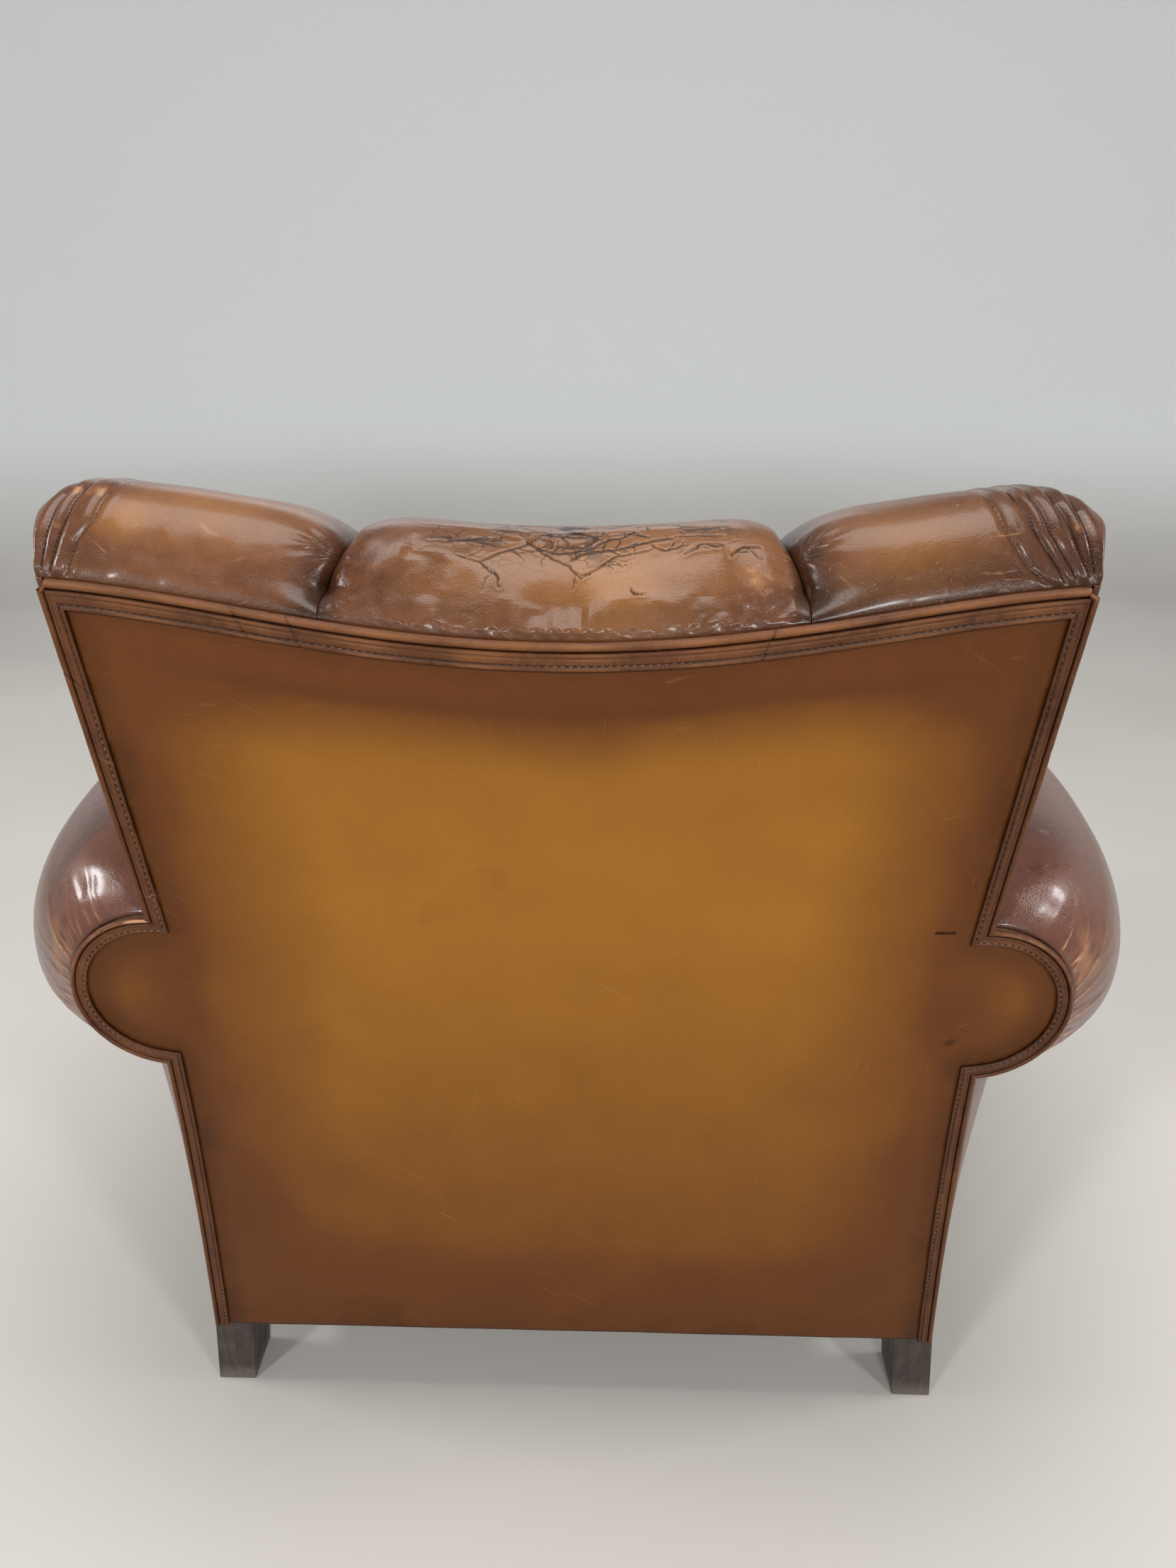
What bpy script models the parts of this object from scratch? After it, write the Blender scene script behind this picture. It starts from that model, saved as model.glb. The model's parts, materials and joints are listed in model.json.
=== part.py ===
"""Worn leather club chair, with the frame, springs and stuffing that carry its hide.

Metres, +Z up. The chair faces -Y, so its outside back looks towards +Y, and its left
arm, as someone sits in it, is at +X. The origin lies on the floor under its middle.
"""
import math

import bmesh
import bpy

# Clearance and sheet goods
GAP = 0.0003              # between pieces that touch
SLACK = 0.001             # between stuffing and what it is packed against
HIDE = 0.0025             # leather
HESSIAN = 0.0015          # jute cloth
WEB = 0.002               # jute webbing
CLOTH = 0.001             # bottom cloth
TACKED = 0.020            # how far cloth reaches on to the timber it is tacked to

# Outside back, measured across the chair and up the raked plane of its frame
RAKE = math.radians(6)
REAR_Y = 0.352            # where that plane meets the floor
SKIRT = 0.0794            # lower edge of the leather
BACK_HALF = 0.2875        # half-width at its waist, just above the arms
BASE_FLARE = 0.021        # how much wider each side is at the lower edge
UNDER_ARM_FLARE = 0.0108  # where the arms spring from it
TOP_FLARE = 0.0215        # and at the top corners
TOP_HEIGHT = 0.7485       # of the top corners
TOP_DIP = 0.0376          # from them down to the middle of the top line
SCROLL_OUT = 0.0025       # centre of the arm scroll, beyond the waist
SCROLL_HEIGHT = 0.441
SCROLL_RADIUS = 0.0655
PIPING = 0.003            # radius of the piped edge
BAND_WIDTH = 0.0185       # with its piped edge
CORNER = 0.008            # radius that the piping turns

# Timber
POST_WIDTH = 0.038
POST_DEPTH = 0.045
BOARD = 0.018
RAIL_THICK = 0.028
RAIL_BOTTOM = 0.0885
RAIL_HEIGHT = 0.0965
TOP_RAIL_HEIGHT = 0.044
BACK_TACK_RAIL = (0.302, 0.345)
ARM_TACK_RAIL_HEIGHT = 0.035
TACK_RAIL_THICK = 0.022
FOOT_TOP = SKIRT - 0.003  # leaves room for its chamfer under the leather
FOOT_WIDTH = 0.033
FOOT_STEP = 0.002         # that the feet stand out beyond the leather
FOOT_SPLAY = 0.008
FOOT_SHRINK = 0.004       # of a front foot, from its top to the floor
FRONT_FOOT = 0.048
FRONT_POST = 0.045
BRACE = 0.040
BRACE_OFF_POST = 0.030
BRACE_HEIGHT = (0.100, 0.145)

# Arms
FRONT_Y = -0.430          # front of the arm facings
ARM_IN = 0.0235           # inside of the arms, inwards of the back's waist
ARM_Z = 0.452             # centre of the roll
ROLL = 0.093              # radius of the stuffed roll
FACING_STEP = 0.015       # how much smaller the roll is where it meets the front board
ARM_OVERHANG = 0.026      # from the roll's centre out to the outside arm
RUN_OUT = 0.100           # how soon the roll swings out, going forward from the back
GATHER_REAR = 0.030       # how soon it swells in front of the rear scroll
GATHER_FRONT = 0.020
ARM_RAIL_REAR_WIDTH = 0.036
ARM_RAIL_HEIGHT = 0.030
ARM_RAIL_TOP = 0.467
ARM_PAD = 0.030           # stuffing on the inside arm

# Seat
STRAP_WIDTH = 0.060
STRAP_TURN = 0.006        # in which a strap passes from over to under
STRAP_SETBACK = 0.004     # of its end from the rail's outer face
SPRING_FIRST = 0.088      # from the front rail back to the first row of springs
SPRING_PITCH = 0.200      # from row to row
SPRING_SPREAD = 0.170     # from the middle column to the outer ones
SPRING_WIRE = 0.0018      # radius
SPRING_END = 0.042
SPRING_WAIST = 0.027
SPRING_TURNS = 5.5
SPRING_TOP = 0.260        # outside of the hessian over the springs
CLOTH_MARGIN = 0.002      # clearance of the seat's cloths from the posts
SEAT_STUFFING = 0.030     # its depth over the springs
SEAT_ROUNDING = 0.008     # of its upper edges
BORDER_SETBACK = 0.004    # of the front border behind the arm facings
BORDER_BELLY = 0.003      # how far it swells forward
BORDER_NOSE = 0.012       # rounding of its upper front edge
BORDER_REAR = 0.010       # and of the edge behind it
CUSHION_HEIGHT = 0.115
CUSHION_CROWN = 0.014
CUSHION_EASE = 0.0065     # between the cushion and each arm
CUSHION_CLEAR = 0.004     # between it and the back pads
CUSHION_CORNER = 0.036
CUSHION_EDGE = 0.012

# Back pads
PAD_RAISE = 0.0037        # of their lower edge above the deck
PAD_RISE = 0.057          # crest above the top line
PAD_EASE = 0.010          # between the outer pads and the inside of the arms
PAD_BULGE = 0.012         # beyond the flared sides
PAD_SHOULDER = 0.022      # rounding of the outer edges
SEAM_SEAT = 0.130         # half-width of the middle pad at the seat and at the top
SEAM_TOP = 0.147
SEAM_PUCKER = 0.012       # how far the seams are drawn in
CREST_DEPTH = 0.060       # from the top line forward to the crest
PAD_TOP = 0.090           # how far the crest runs on before it turns down
# Depth from the raked plane to their front, at shares of the height from seat to top line
PAD_DEPTH = ((0.0, 0.243), (0.13, 0.267), (0.37, 0.287), (0.61, 0.280), (0.83, 0.254))

# Worked out from the values above
BASE_HALF = BACK_HALF + BASE_FLARE
TOP_CORNER = (BACK_HALF + TOP_FLARE, TOP_HEIGHT)
TOP_MIDDLE = TOP_HEIGHT - TOP_DIP
SCROLL_CENTRE = (BACK_HALF + SCROLL_OUT, SCROLL_HEIGHT)
UNDER_ARM = (BACK_HALF + UNDER_ARM_FLARE,
             SCROLL_HEIGHT - math.sqrt(SCROLL_RADIUS ** 2 - (UNDER_ARM_FLARE - SCROLL_OUT) ** 2))
WAIST = (BACK_HALF, SCROLL_HEIGHT + math.sqrt(SCROLL_RADIUS ** 2 - SCROLL_OUT ** 2))
SEAT_HALF = BACK_HALF - ARM_IN
ARM_X = SEAT_HALF + ROLL
FACING_ROLL = ROLL - FACING_STEP
CUSHION_HALF = SEAT_HALF - CUSHION_EASE
PAD_HALF = SEAT_HALF - PAD_EASE
STUFFING_TOP = SPRING_TOP + SEAT_STUFFING
PANEL_NEAR = HIDE + 2 * GAP
TIMBER_NEAR = PANEL_NEAR + HIDE + GAP
TIMBER_FAR = TIMBER_NEAR + POST_DEPTH
TIMBER_INSET = HIDE + 3 * GAP
RAIL_TOP = RAIL_BOTTOM + RAIL_HEIGHT
ARM_RAIL_BOTTOM = ARM_RAIL_TOP - ARM_RAIL_HEIGHT
DECK_BOTTOM = STUFFING_TOP + GAP
DECK_TOP = DECK_BOTTOM + HIDE
ARM_TACK_RAIL = (DECK_TOP - ARM_TACK_RAIL_HEIGHT, DECK_TOP)
PAD_BOTTOM = DECK_TOP + PAD_RAISE
FRONT_TIMBER = FRONT_Y + TIMBER_NEAR
POST_FRONT = FRONT_TIMBER + BOARD + GAP
POST_BACK = POST_FRONT + FRONT_POST
SPRING_ROWS = [POST_FRONT + RAIL_THICK + SPRING_FIRST + row * SPRING_PITCH for row in range(3)]
SPRING_COLUMNS = [column * SPRING_SPREAD for column in (-1, 0, 1)]
STRAP_HIGH = RAIL_BOTTOM - GAP - WEB / 2
STRAP_LOW = STRAP_HIGH - WEB - GAP

# Finishes: colour, roughness, metallic
BEECH = ((0.45, 0.30, 0.17), 0.65, 0.0)
STAINED = ((0.055, 0.035, 0.025), 0.45, 0.0)
JUTE = ((0.38, 0.28, 0.16), 0.95, 0.0)
HAIR = ((0.12, 0.09, 0.07), 1.0, 0.0)
STEEL = ((0.25, 0.24, 0.23), 0.4, 0.9)
TAN = ((0.33, 0.12, 0.025), 0.5, 0.0)
BROWN = ((0.16, 0.055, 0.022), 0.38, 0.0)
DARK = ((0.09, 0.032, 0.016), 0.45, 0.0)
BLACK = ((0.01, 0.01, 0.01), 0.9, 0.0)

PIECES = "worn_club_chair"
CUTTERS = "cutters"


def mix(first, second, share):
    return first + (second - first) * share


def smooth(low, high, value):
    """0 below low, 1 above high, and an S between them."""
    share = min(1.0, max(0.0, (value - low) / (high - low)))
    return share * share * (3 - 2 * share)


def interpolate(points, place):
    """Second coordinate of a polyline at a place along its first."""
    for (x0, y0), (x1, y1) in zip(points, points[1:]):
        if place <= x1:
            return mix(y0, y1, (place - x0) / (x1 - x0))
    return points[-1][1]


def side_name(name, side):
    return name + ("_left" if side > 0 else "_right")


# Outlines in a plane

def arc(centre, radius, start, end, steps):
    """Points on a circle between two angles in degrees."""
    angles = [math.radians(mix(start, end, step / steps)) for step in range(steps + 1)]
    return [(centre[0] + radius * math.cos(a), centre[1] + radius * math.sin(a)) for a in angles]


def bezier(corners, steps):
    """Points on the cubic curve that four control points give, from the first to the last."""
    points = []
    for step in range(steps + 1):
        t = step / steps
        weights = ((1 - t) ** 3, 3 * t * (1 - t) ** 2, 3 * t * t * (1 - t), t ** 3)
        points.append(tuple(sum(w * c[axis] for w, c in zip(weights, corners)) for axis in (0, 1)))
    return points


def offset_path(path, inset):
    """An open path moved to its left side, with mitred corners."""
    normals = []
    for (x0, y0), (x1, y1) in zip(path, path[1:]):
        length = math.hypot(x1 - x0, y1 - y0)
        normals.append(((y0 - y1) / length, (x1 - x0) / length))
    moved = []
    for index, (x, y) in enumerate(path):
        before = normals[max(index - 1, 0)]
        after = normals[min(index, len(normals) - 1)]
        across = (before[0] + after[0], before[1] + after[1])
        scale = 2 * inset / (across[0] ** 2 + across[1] ** 2)
        moved.append((x + across[0] * scale, y + across[1] * scale))
    return moved


def soften(path, radius, steps=3, sharp=math.radians(30)):
    """An open path with an arc in place of each corner sharper than the given turn."""
    soft = [path[0]]
    for before, corner, after in zip(path, path[1:], path[2:]):
        heading = math.atan2(corner[1] - before[1], corner[0] - before[0])
        onward = math.atan2(after[1] - corner[1], after[0] - corner[0])
        turn = math.remainder(onward - heading, math.tau)
        if abs(turn) < sharp:
            soft.append(corner)
            continue
        back = radius * abs(math.tan(turn / 2))
        bend = math.copysign(radius, turn)
        centre = (corner[0] - back * math.cos(heading) - bend * math.sin(heading),
                  corner[1] - back * math.sin(heading) + bend * math.cos(heading))
        first = math.degrees(heading) - math.copysign(90, turn)
        soft += arc(centre, radius, first, first + math.degrees(turn), steps)
    return soft + [path[-1]]


def mirrored(half):
    """The whole of a path whose right half ends on the middle line."""
    return half + [(-x, up) for x, up in reversed(half[:-1])]


def top_line(steps=10):
    """Right half of the concave top edge, from the middle out to the corner."""
    rise = TOP_CORNER[1] - TOP_MIDDLE
    return bezier(((0, TOP_MIDDLE), (0.42 * TOP_CORNER[0], TOP_MIDDLE),
                   (0.70 * TOP_CORNER[0], TOP_MIDDLE + 0.83 * rise), TOP_CORNER), steps)


def back_half(inset=0.0):
    """Right half of the outline of the back: side, round ear over the arm, flared side, top."""
    height = UNDER_ARM[1] - SKIRT
    flare = BASE_HALF - UNDER_ARM[0]
    lower = bezier(((BASE_HALF, SKIRT), (BASE_HALF - 0.55 * flare, SKIRT + 0.33 * height),
                    (UNDER_ARM[0], SKIRT + 0.67 * height), UNDER_ARM), 3)
    angles = [math.degrees(math.atan2(point[1] - SCROLL_CENTRE[1], point[0] - SCROLL_CENTRE[0]))
              for point in (UNDER_ARM, WAIST)]
    ear = arc(SCROLL_CENTRE, SCROLL_RADIUS, angles[0], angles[1], 12)
    path = lower[:-1] + ear + list(reversed(top_line()))
    if inset:
        path = offset_path(path, inset)
    path[-1] = (0.0, path[-1][1])
    return path


def side_edge(up):
    """Half-width of the back at a height, without the ear."""
    return interpolate([(up, x) for x, up in ((BASE_HALF, SKIRT), UNDER_ARM, WAIST, TOP_CORNER)], up)


def top_edge(x):
    """Height of the top line at a distance from the middle."""
    return interpolate(top_line(), abs(x))


def facing_path(inset=0.0):
    """Outline of an arm front, from its outer lower corner over the roll to the inner one."""
    drop = math.degrees(math.acos(ARM_OVERHANG / FACING_ROLL))
    path = ([(ARM_X + ARM_OVERHANG, SKIRT)] + arc((ARM_X, ARM_Z), FACING_ROLL, -drop, 180, 14)
            + [(ARM_X - FACING_ROLL, SKIRT)])
    return offset_path(path, inset) if inset else path


TOP_RAIL_END = side_edge(TOP_CORNER[1] - TOP_RAIL_HEIGHT) - TIMBER_INSET


# Places in the chair

def back_y(z, depth=0.0):
    """World y at a height, at a depth behind the raked plane of the back."""
    return REAR_Y + z * math.tan(RAKE) - depth / math.cos(RAKE)


def on_back(x, up, depth):
    """World place of a point given across, up and into the raked plane."""
    return (x, REAR_Y + up * math.sin(RAKE) - depth * math.cos(RAKE),
            up * math.cos(RAKE) + depth * math.sin(RAKE))


def post_outer(z, depth=TIMBER_FAR):
    """Outer face of a rear post, at its front unless another depth is given."""
    return side_edge((z - depth * math.sin(RAKE)) / math.cos(RAKE)) - TIMBER_INSET


ARM_REAR = back_y(ARM_Z, TIMBER_NEAR)


def arm_share(y):
    return (y - FRONT_Y) / (ARM_REAR - FRONT_Y)


def arm_roll(y):
    """Centre x and z, radius, and overhang of the stuffed roll at a place along the arm."""
    swing = math.exp((y - ARM_REAR) / RUN_OUT)
    radius = (ROLL - (ROLL - SCROLL_RADIUS) * math.exp((y - ARM_REAR) / GATHER_REAR)
              - (ROLL - FACING_ROLL) * math.exp((FRONT_Y - y) / GATHER_FRONT))
    return (mix(ARM_X, SCROLL_CENTRE[0], swing),
            mix(ARM_Z, on_back(*SCROLL_CENTRE, TIMBER_NEAR)[2], swing), radius,
            mix(ARM_OVERHANG, UNDER_ARM[0] - SCROLL_CENTRE[0], swing))


def arm_lean(y, step=1e-4):
    """How steeply the roll's outer side draws in along the arm."""
    ends = [sum(arm_roll(place)[axis] for axis in (0, 2)) for place in (y - step, y + step)]
    return abs(ends[1] - ends[0]) / (2 * step)


def arm_place(side, y, x, z):
    """World place in the arm's section at y, which leans more towards the raked rear end."""
    return (side * x, y + arm_share(y) * (z - ARM_Z) * math.tan(RAKE), z)


def arm_section(y, inset=0.0, leg_points=3, arc_points=14):
    """The arm's skin in section: up the inside arm, over the roll and under it."""
    centre_x, centre_z, radius, overhang = arm_roll(y)
    radius -= inset
    end = -math.degrees(math.acos(overhang / radius))
    foot = DECK_TOP + GAP
    leg = [(centre_x - radius, mix(foot, centre_z, step / leg_points)) for step in range(leg_points)]
    return leg + arc((centre_x, centre_z), radius, 180, end, arc_points - 1)


def arm_stations(front, rear):
    """Places from front to rear along the arm, closer together where its ends are gathered in."""
    places = [FRONT_Y + step for step in (0.007, 0.018, 0.035, 0.075, 0.20, 0.40)]
    places += [ARM_REAR - step for step in (0.28, 0.23, 0.18, 0.14, 0.11, 0.08, 0.05, 0.03, 0.015, 0.006)]
    return [front] + [y for y in places if front < y < rear] + [rear]


def outside_low_x(y):
    """Lower edge of the outside arm, straight from the arm board to the outside back."""
    share = max(0.0, (y - POST_FRONT) / (ARM_REAR - POST_FRONT))
    return mix(ARM_X + ARM_OVERHANG, BASE_HALF, share)


def outside_arm_x(y, z):
    """Outer face of the outside arm, from its lower edge up to the roll."""
    centre_x, _, _, overhang = arm_roll(y)
    return mix(outside_low_x(y), centre_x + overhang, (z - SKIRT) / (roll_underside(y) - SKIRT))


def roll_underside(y):
    """Height at which the roll's leather meets the outside arm."""
    _, centre_z, radius, overhang = arm_roll(y)
    return centre_z - math.sqrt(radius ** 2 - overhang ** 2)


FRONT_POST_OUTER = outside_low_x(POST_BACK) - TIMBER_INSET
FRONT_POST_INNER = FRONT_POST_OUTER - FRONT_POST


def arm_rail_faces(y):
    """Inner and outer x of an arm rail, which tapers from the front post to the rear post."""
    rear_y = back_y(ARM_RAIL_TOP, TIMBER_FAR)
    share = min(1.0, max(0.0, (y - POST_BACK) / (rear_y - POST_BACK)))
    centre = mix(FRONT_POST_OUTER - FRONT_POST / 2, post_outer(ARM_RAIL_TOP) - POST_WIDTH / 2, share)
    half = mix(FRONT_POST, ARM_RAIL_REAR_WIDTH, share) / 2
    return centre - half, centre + half


def side_rail_outer(y, z):
    """Outer face of a side rail, straight from the front post to the rear post."""
    rear_y = back_y(z, TIMBER_FAR)
    return mix(FRONT_POST_OUTER, post_outer(z), (y - POST_BACK) / (rear_y - POST_BACK))


def well_half(y, clearance=0.0):
    """Half-width of the seat well between the inside-arm tack rails."""
    z = ARM_TACK_RAIL[0]
    rear_y = back_y(z, TIMBER_FAR)
    share = (y - POST_BACK) / (rear_y - POST_BACK)
    return mix(FRONT_POST_INNER, post_outer(z) - POST_WIDTH, share) - clearance


# Making bodies

def add(name, data, finish, collection=PIECES):
    """A new object, with a finish of its own."""
    obj = bpy.data.objects.new(name, data)
    bpy.data.collections[collection].objects.link(obj)
    if finish:
        colour, roughness, metallic = finish
        paint = bpy.data.materials.new(name + "_finish")
        paint.use_nodes = True
        shader = paint.node_tree.nodes["Principled BSDF"]
        shader.inputs["Base Color"].default_value = (*colour, 1)
        shader.inputs["Roughness"].default_value = roughness
        shader.inputs["Metallic"].default_value = metallic
        paint.diffuse_color = (*colour, 1)
        data.materials.append(paint)
    else:
        obj.hide_render = True
        obj.display_type = "WIRE"
    return obj


def add_shape(name, shape, finish, collection=PIECES):
    """An object from an edited mesh, which is used up."""
    mesh = bpy.data.meshes.new(name)
    shape.to_mesh(mesh)
    shape.free()
    return add(name, mesh, finish, collection)


def skin(shape, rings):
    """Faces between rings of points, and the rings' vertices."""
    loops = [[shape.verts.new(point) for point in ring] for ring in rings]
    for first, second in zip(loops, loops[1:]):
        for index in range(len(first)):
            after = (index + 1) % len(first)
            shape.faces.new((first[index], first[after], second[after], second[index]))
    return loops


def loft(name, rings, finish, collection=PIECES):
    """One closed body through rings of points."""
    shape = bmesh.new()
    loops = skin(shape, rings)
    shape.faces.new(loops[0])
    shape.faces.new(loops[-1])
    bmesh.ops.recalc_face_normals(shape, faces=shape.faces)
    return add_shape(name, shape, finish, collection)


def tray(name, rings, thickness, finish):
    """A sheet drawn over a form: walls through the rings, closed at the last one."""
    shape = bmesh.new()
    shape.faces.new(skin(shape, rings)[-1])
    bmesh.ops.recalc_face_normals(shape, faces=shape.faces)
    return thicken(add_shape(name, shape, finish), thickness)


def sheet(name, rows, thickness, finish):
    """A sheet through a grid of points; a row crossed with the next row points outside."""
    shape = bmesh.new()
    grid = [[shape.verts.new(point) for point in row] for row in rows]
    for first, second in zip(grid, grid[1:]):
        for index in range(len(first) - 1):
            shape.faces.new((first[index], first[index + 1], second[index + 1], second[index]))
    return thicken(add_shape(name, shape, finish), thickness)


def thicken(obj, thickness):
    wall = obj.modifiers.new("thickness", "SOLIDIFY")
    wall.thickness = thickness
    wall.offset = -1
    wall.use_even_offset = True
    return obj


def worn_edges(obj, width=0.002):
    """Small chamfers along the sharp edges of a timber."""
    edge = obj.modifiers.new("worn edges", "BEVEL")
    edge.width = width
    edge.segments = 1
    edge.limit_method = "ANGLE"
    edge.angle_limit = math.radians(40)
    return obj


def cut(obj, cutter):
    knife = obj.modifiers.new("clear of " + cutter.name, "BOOLEAN")
    knife.operation = "DIFFERENCE"
    knife.object = cutter


def plane(name, y, turn):
    """An empty whose x and y run across and up a plane of the chair."""
    empty = bpy.data.objects.new(name, None)
    bpy.data.collections[PIECES].objects.link(empty)
    empty.location.y = y
    empty.rotation_euler.x = turn
    return empty


def plate(name, outline, near, far, on_plane, finish):
    """A flat outline cut from board or hide, between two depths behind a plane."""
    curve = bpy.data.curves.new(name, "CURVE")
    curve.dimensions = "2D"
    curve.fill_mode = "BOTH"
    curve.extrude = (far - near) / 2
    add_path(curve, outline)
    curve.splines[0].use_cyclic_u = True
    return hang(add(name, curve, finish), on_plane, (near + far) / 2)


def cord(name, path, radius, depth, on_plane, finish):
    """A round cord along a path, at a depth behind a plane."""
    curve = bpy.data.curves.new(name, "CURVE")
    curve.dimensions = "3D"
    curve.bevel_depth = radius
    curve.bevel_resolution = 1
    curve.use_fill_caps = True
    add_path(curve, path)
    return hang(add(name, curve, finish), on_plane, depth)


def add_path(curve, path):
    """A straight-sided spline through points of two or three coordinates."""
    curve.resolution_u = 1
    curve.render_resolution_u = 0
    spline = curve.splines.new("POLY")
    spline.points.add(len(path) - 1)
    for point, place in zip(spline.points, path):
        point.co = (*place, *(0.0,) * (3 - len(place)), 1.0)


def hang(obj, on_plane, depth):
    """Give a flat piece its plane and its depth, which runs into the chair."""
    obj.parent = on_plane
    obj.location.z = depth if on_plane.name == "back_plane" else -depth
    return obj


def level_ring(side, x0, x1, y_near, y_far, z):
    """A level rectangle between two widths and two depths."""
    return [(side * x0, y_near, z), (side * x1, y_near, z), (side * x1, y_far, z), (side * x0, y_far, z)]


# Timber frame

def rear_post(side):
    """Post and foot sawn in one; the foot is splayed and cut level with the floor."""
    corners = ((0, TIMBER_NEAR), (1, TIMBER_NEAR), (1, TIMBER_FAR), (0, TIMBER_FAR))
    rings = []
    for z, outer in ((0, BASE_HALF + FOOT_STEP + FOOT_SPLAY), (FOOT_TOP, BASE_HALF + FOOT_STEP)):
        rings.append([(side * (outer - inwards * FOOT_WIDTH), back_y(z, depth), z)
                      for inwards, depth in corners])
    z = FOOT_TOP + GAP
    rings.append([(side * (post_outer(z, depth) - inwards * POST_WIDTH), back_y(z, depth), z)
                  for inwards, depth in corners])
    for up in (UNDER_ARM[1], WAIST[1]):
        outer = side_edge(up) - TIMBER_INSET
        rings.append([on_back(side * (outer - inwards * POST_WIDTH), up, depth)
                      for inwards, depth in corners])
    head = []
    for inwards, depth in corners:
        x = TOP_RAIL_END - inwards * POST_WIDTH
        head.append(on_back(side * x, top_edge(x) - TIMBER_INSET - TOP_RAIL_HEIGHT - GAP, depth))
    worn_edges(loft(side_name("rear_post", side), rings + [head], STAINED))


def front_post(side):
    """Square post with a tapered block foot that steps forward under the arm board."""
    foot_outer = ARM_X + ARM_OVERHANG - TIMBER_INSET
    rings = [level_ring(side, foot_outer, foot_outer - FRONT_FOOT + FOOT_SHRINK,
                        FRONT_TIMBER, FRONT_TIMBER + FRONT_FOOT - FOOT_SHRINK, 0.0),
             level_ring(side, foot_outer, foot_outer - FRONT_FOOT,
                        FRONT_TIMBER, FRONT_TIMBER + FRONT_FOOT, FOOT_TOP)]
    for z in (FOOT_TOP + GAP, ARM_RAIL_BOTTOM - GAP):
        rings.append(level_ring(side, FRONT_POST_OUTER, FRONT_POST_INNER, POST_FRONT, POST_BACK, z))
    worn_edges(loft(side_name("front_post", side), rings, STAINED))


def cross_rails(back_plane):
    """Front and rear seat rails, the back's tack rail and its curved top rail."""
    half = FRONT_POST_INNER - GAP
    rings = [level_ring(1, -half, half, POST_FRONT, POST_FRONT + RAIL_THICK, z)
             for z in (RAIL_BOTTOM, RAIL_TOP)]
    worn_edges(loft("front_rail", rings, BEECH))
    for name, (low, high), thick in (("rear_rail", (RAIL_BOTTOM, RAIL_TOP), RAIL_THICK),
                                     ("back_tack_rail", BACK_TACK_RAIL, POST_DEPTH)):
        rings = []
        for z in (low, high):
            ring = []
            for across, depth in ((-1, TIMBER_NEAR), (1, TIMBER_NEAR),
                                  (1, TIMBER_NEAR + thick), (-1, TIMBER_NEAR + thick)):
                half = post_outer(z, depth) - POST_WIDTH - GAP
                ring.append((across * half, back_y(z, depth), z))
            rings.append(ring)
        worn_edges(loft(name, rings, BEECH))
    half_top = [(x, up - TIMBER_INSET) for x, up in top_line() if x < TOP_RAIL_END]
    half_top.append((TOP_RAIL_END, top_edge(TOP_RAIL_END) - TIMBER_INSET))
    upper = [(-x, up) for x, up in reversed(half_top[1:])] + half_top
    lower = [(x, up - TOP_RAIL_HEIGHT) for x, up in reversed(upper)]
    plate("back_top_rail", upper + lower, TIMBER_NEAR, TIMBER_FAR, back_plane, BEECH)


def side_rail(side):
    rings = []
    for at_rear in (False, True):
        ring = []
        for z, inwards in ((RAIL_BOTTOM, 0), (RAIL_TOP, 0), (RAIL_TOP, RAIL_THICK), (RAIL_BOTTOM, RAIL_THICK)):
            y = back_y(z, TIMBER_FAR) - GAP if at_rear else POST_BACK + GAP
            ring.append((side * (side_rail_outer(y, z) - inwards), y, z))
        rings.append(ring)
    worn_edges(loft(side_name("side_rail", side), rings, BEECH))


def arm_rails(side):
    """The rail inside the roll, and the lower rail that the inside arm is tacked to."""
    rings = []
    for front_y in (POST_FRONT, POST_BACK, None):
        ring = []
        for z, edge in ((ARM_RAIL_BOTTOM, 0), (ARM_RAIL_BOTTOM, 1), (ARM_RAIL_TOP, 1), (ARM_RAIL_TOP, 0)):
            y = back_y(z, TIMBER_FAR) - GAP if front_y is None else front_y
            ring.append((side * arm_rail_faces(y)[edge], y, z))
        rings.append(ring)
    worn_edges(loft(side_name("arm_rail", side), rings, BEECH), 0.004)
    rings = []
    for at_rear in (False, True):
        ring = []
        for z, thick in ((ARM_TACK_RAIL[0], 0), (ARM_TACK_RAIL[0], TACK_RAIL_THICK),
                         (ARM_TACK_RAIL[1], TACK_RAIL_THICK), (ARM_TACK_RAIL[1], 0)):
            y = back_y(z, TIMBER_FAR) - GAP if at_rear else POST_BACK + GAP
            ring.append((side * (well_half(y) + thick), y, z))
        rings.append(ring)
    loft(side_name("arm_tack_rail", side), rings, BEECH)


def arm_boards(side, front_plane, back_plane):
    """Shaped board at the front of the arm, and the half round one behind the rear post."""
    outline = [(side * x, up) for x, up in facing_path(TIMBER_INSET)]
    plate(side_name("arm_front_board", side), outline, TIMBER_NEAR, TIMBER_NEAR + BOARD,
          front_plane, BEECH)
    radius = SCROLL_RADIUS - TIMBER_INSET
    reach = [side_edge(up) - TIMBER_INSET + GAP - SCROLL_CENTRE[0] for up in (UNDER_ARM[1], WAIST[1])]
    angles = [-math.degrees(math.acos(reach[0] / radius)), math.degrees(math.acos(reach[1] / radius))]
    outline = [(side * x, up) for x, up in arc(SCROLL_CENTRE, radius, *angles, 12)]
    plate(side_name("rear_scroll_board", side), outline, TIMBER_NEAR, TIMBER_NEAR + BOARD,
          back_plane, BEECH)


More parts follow.
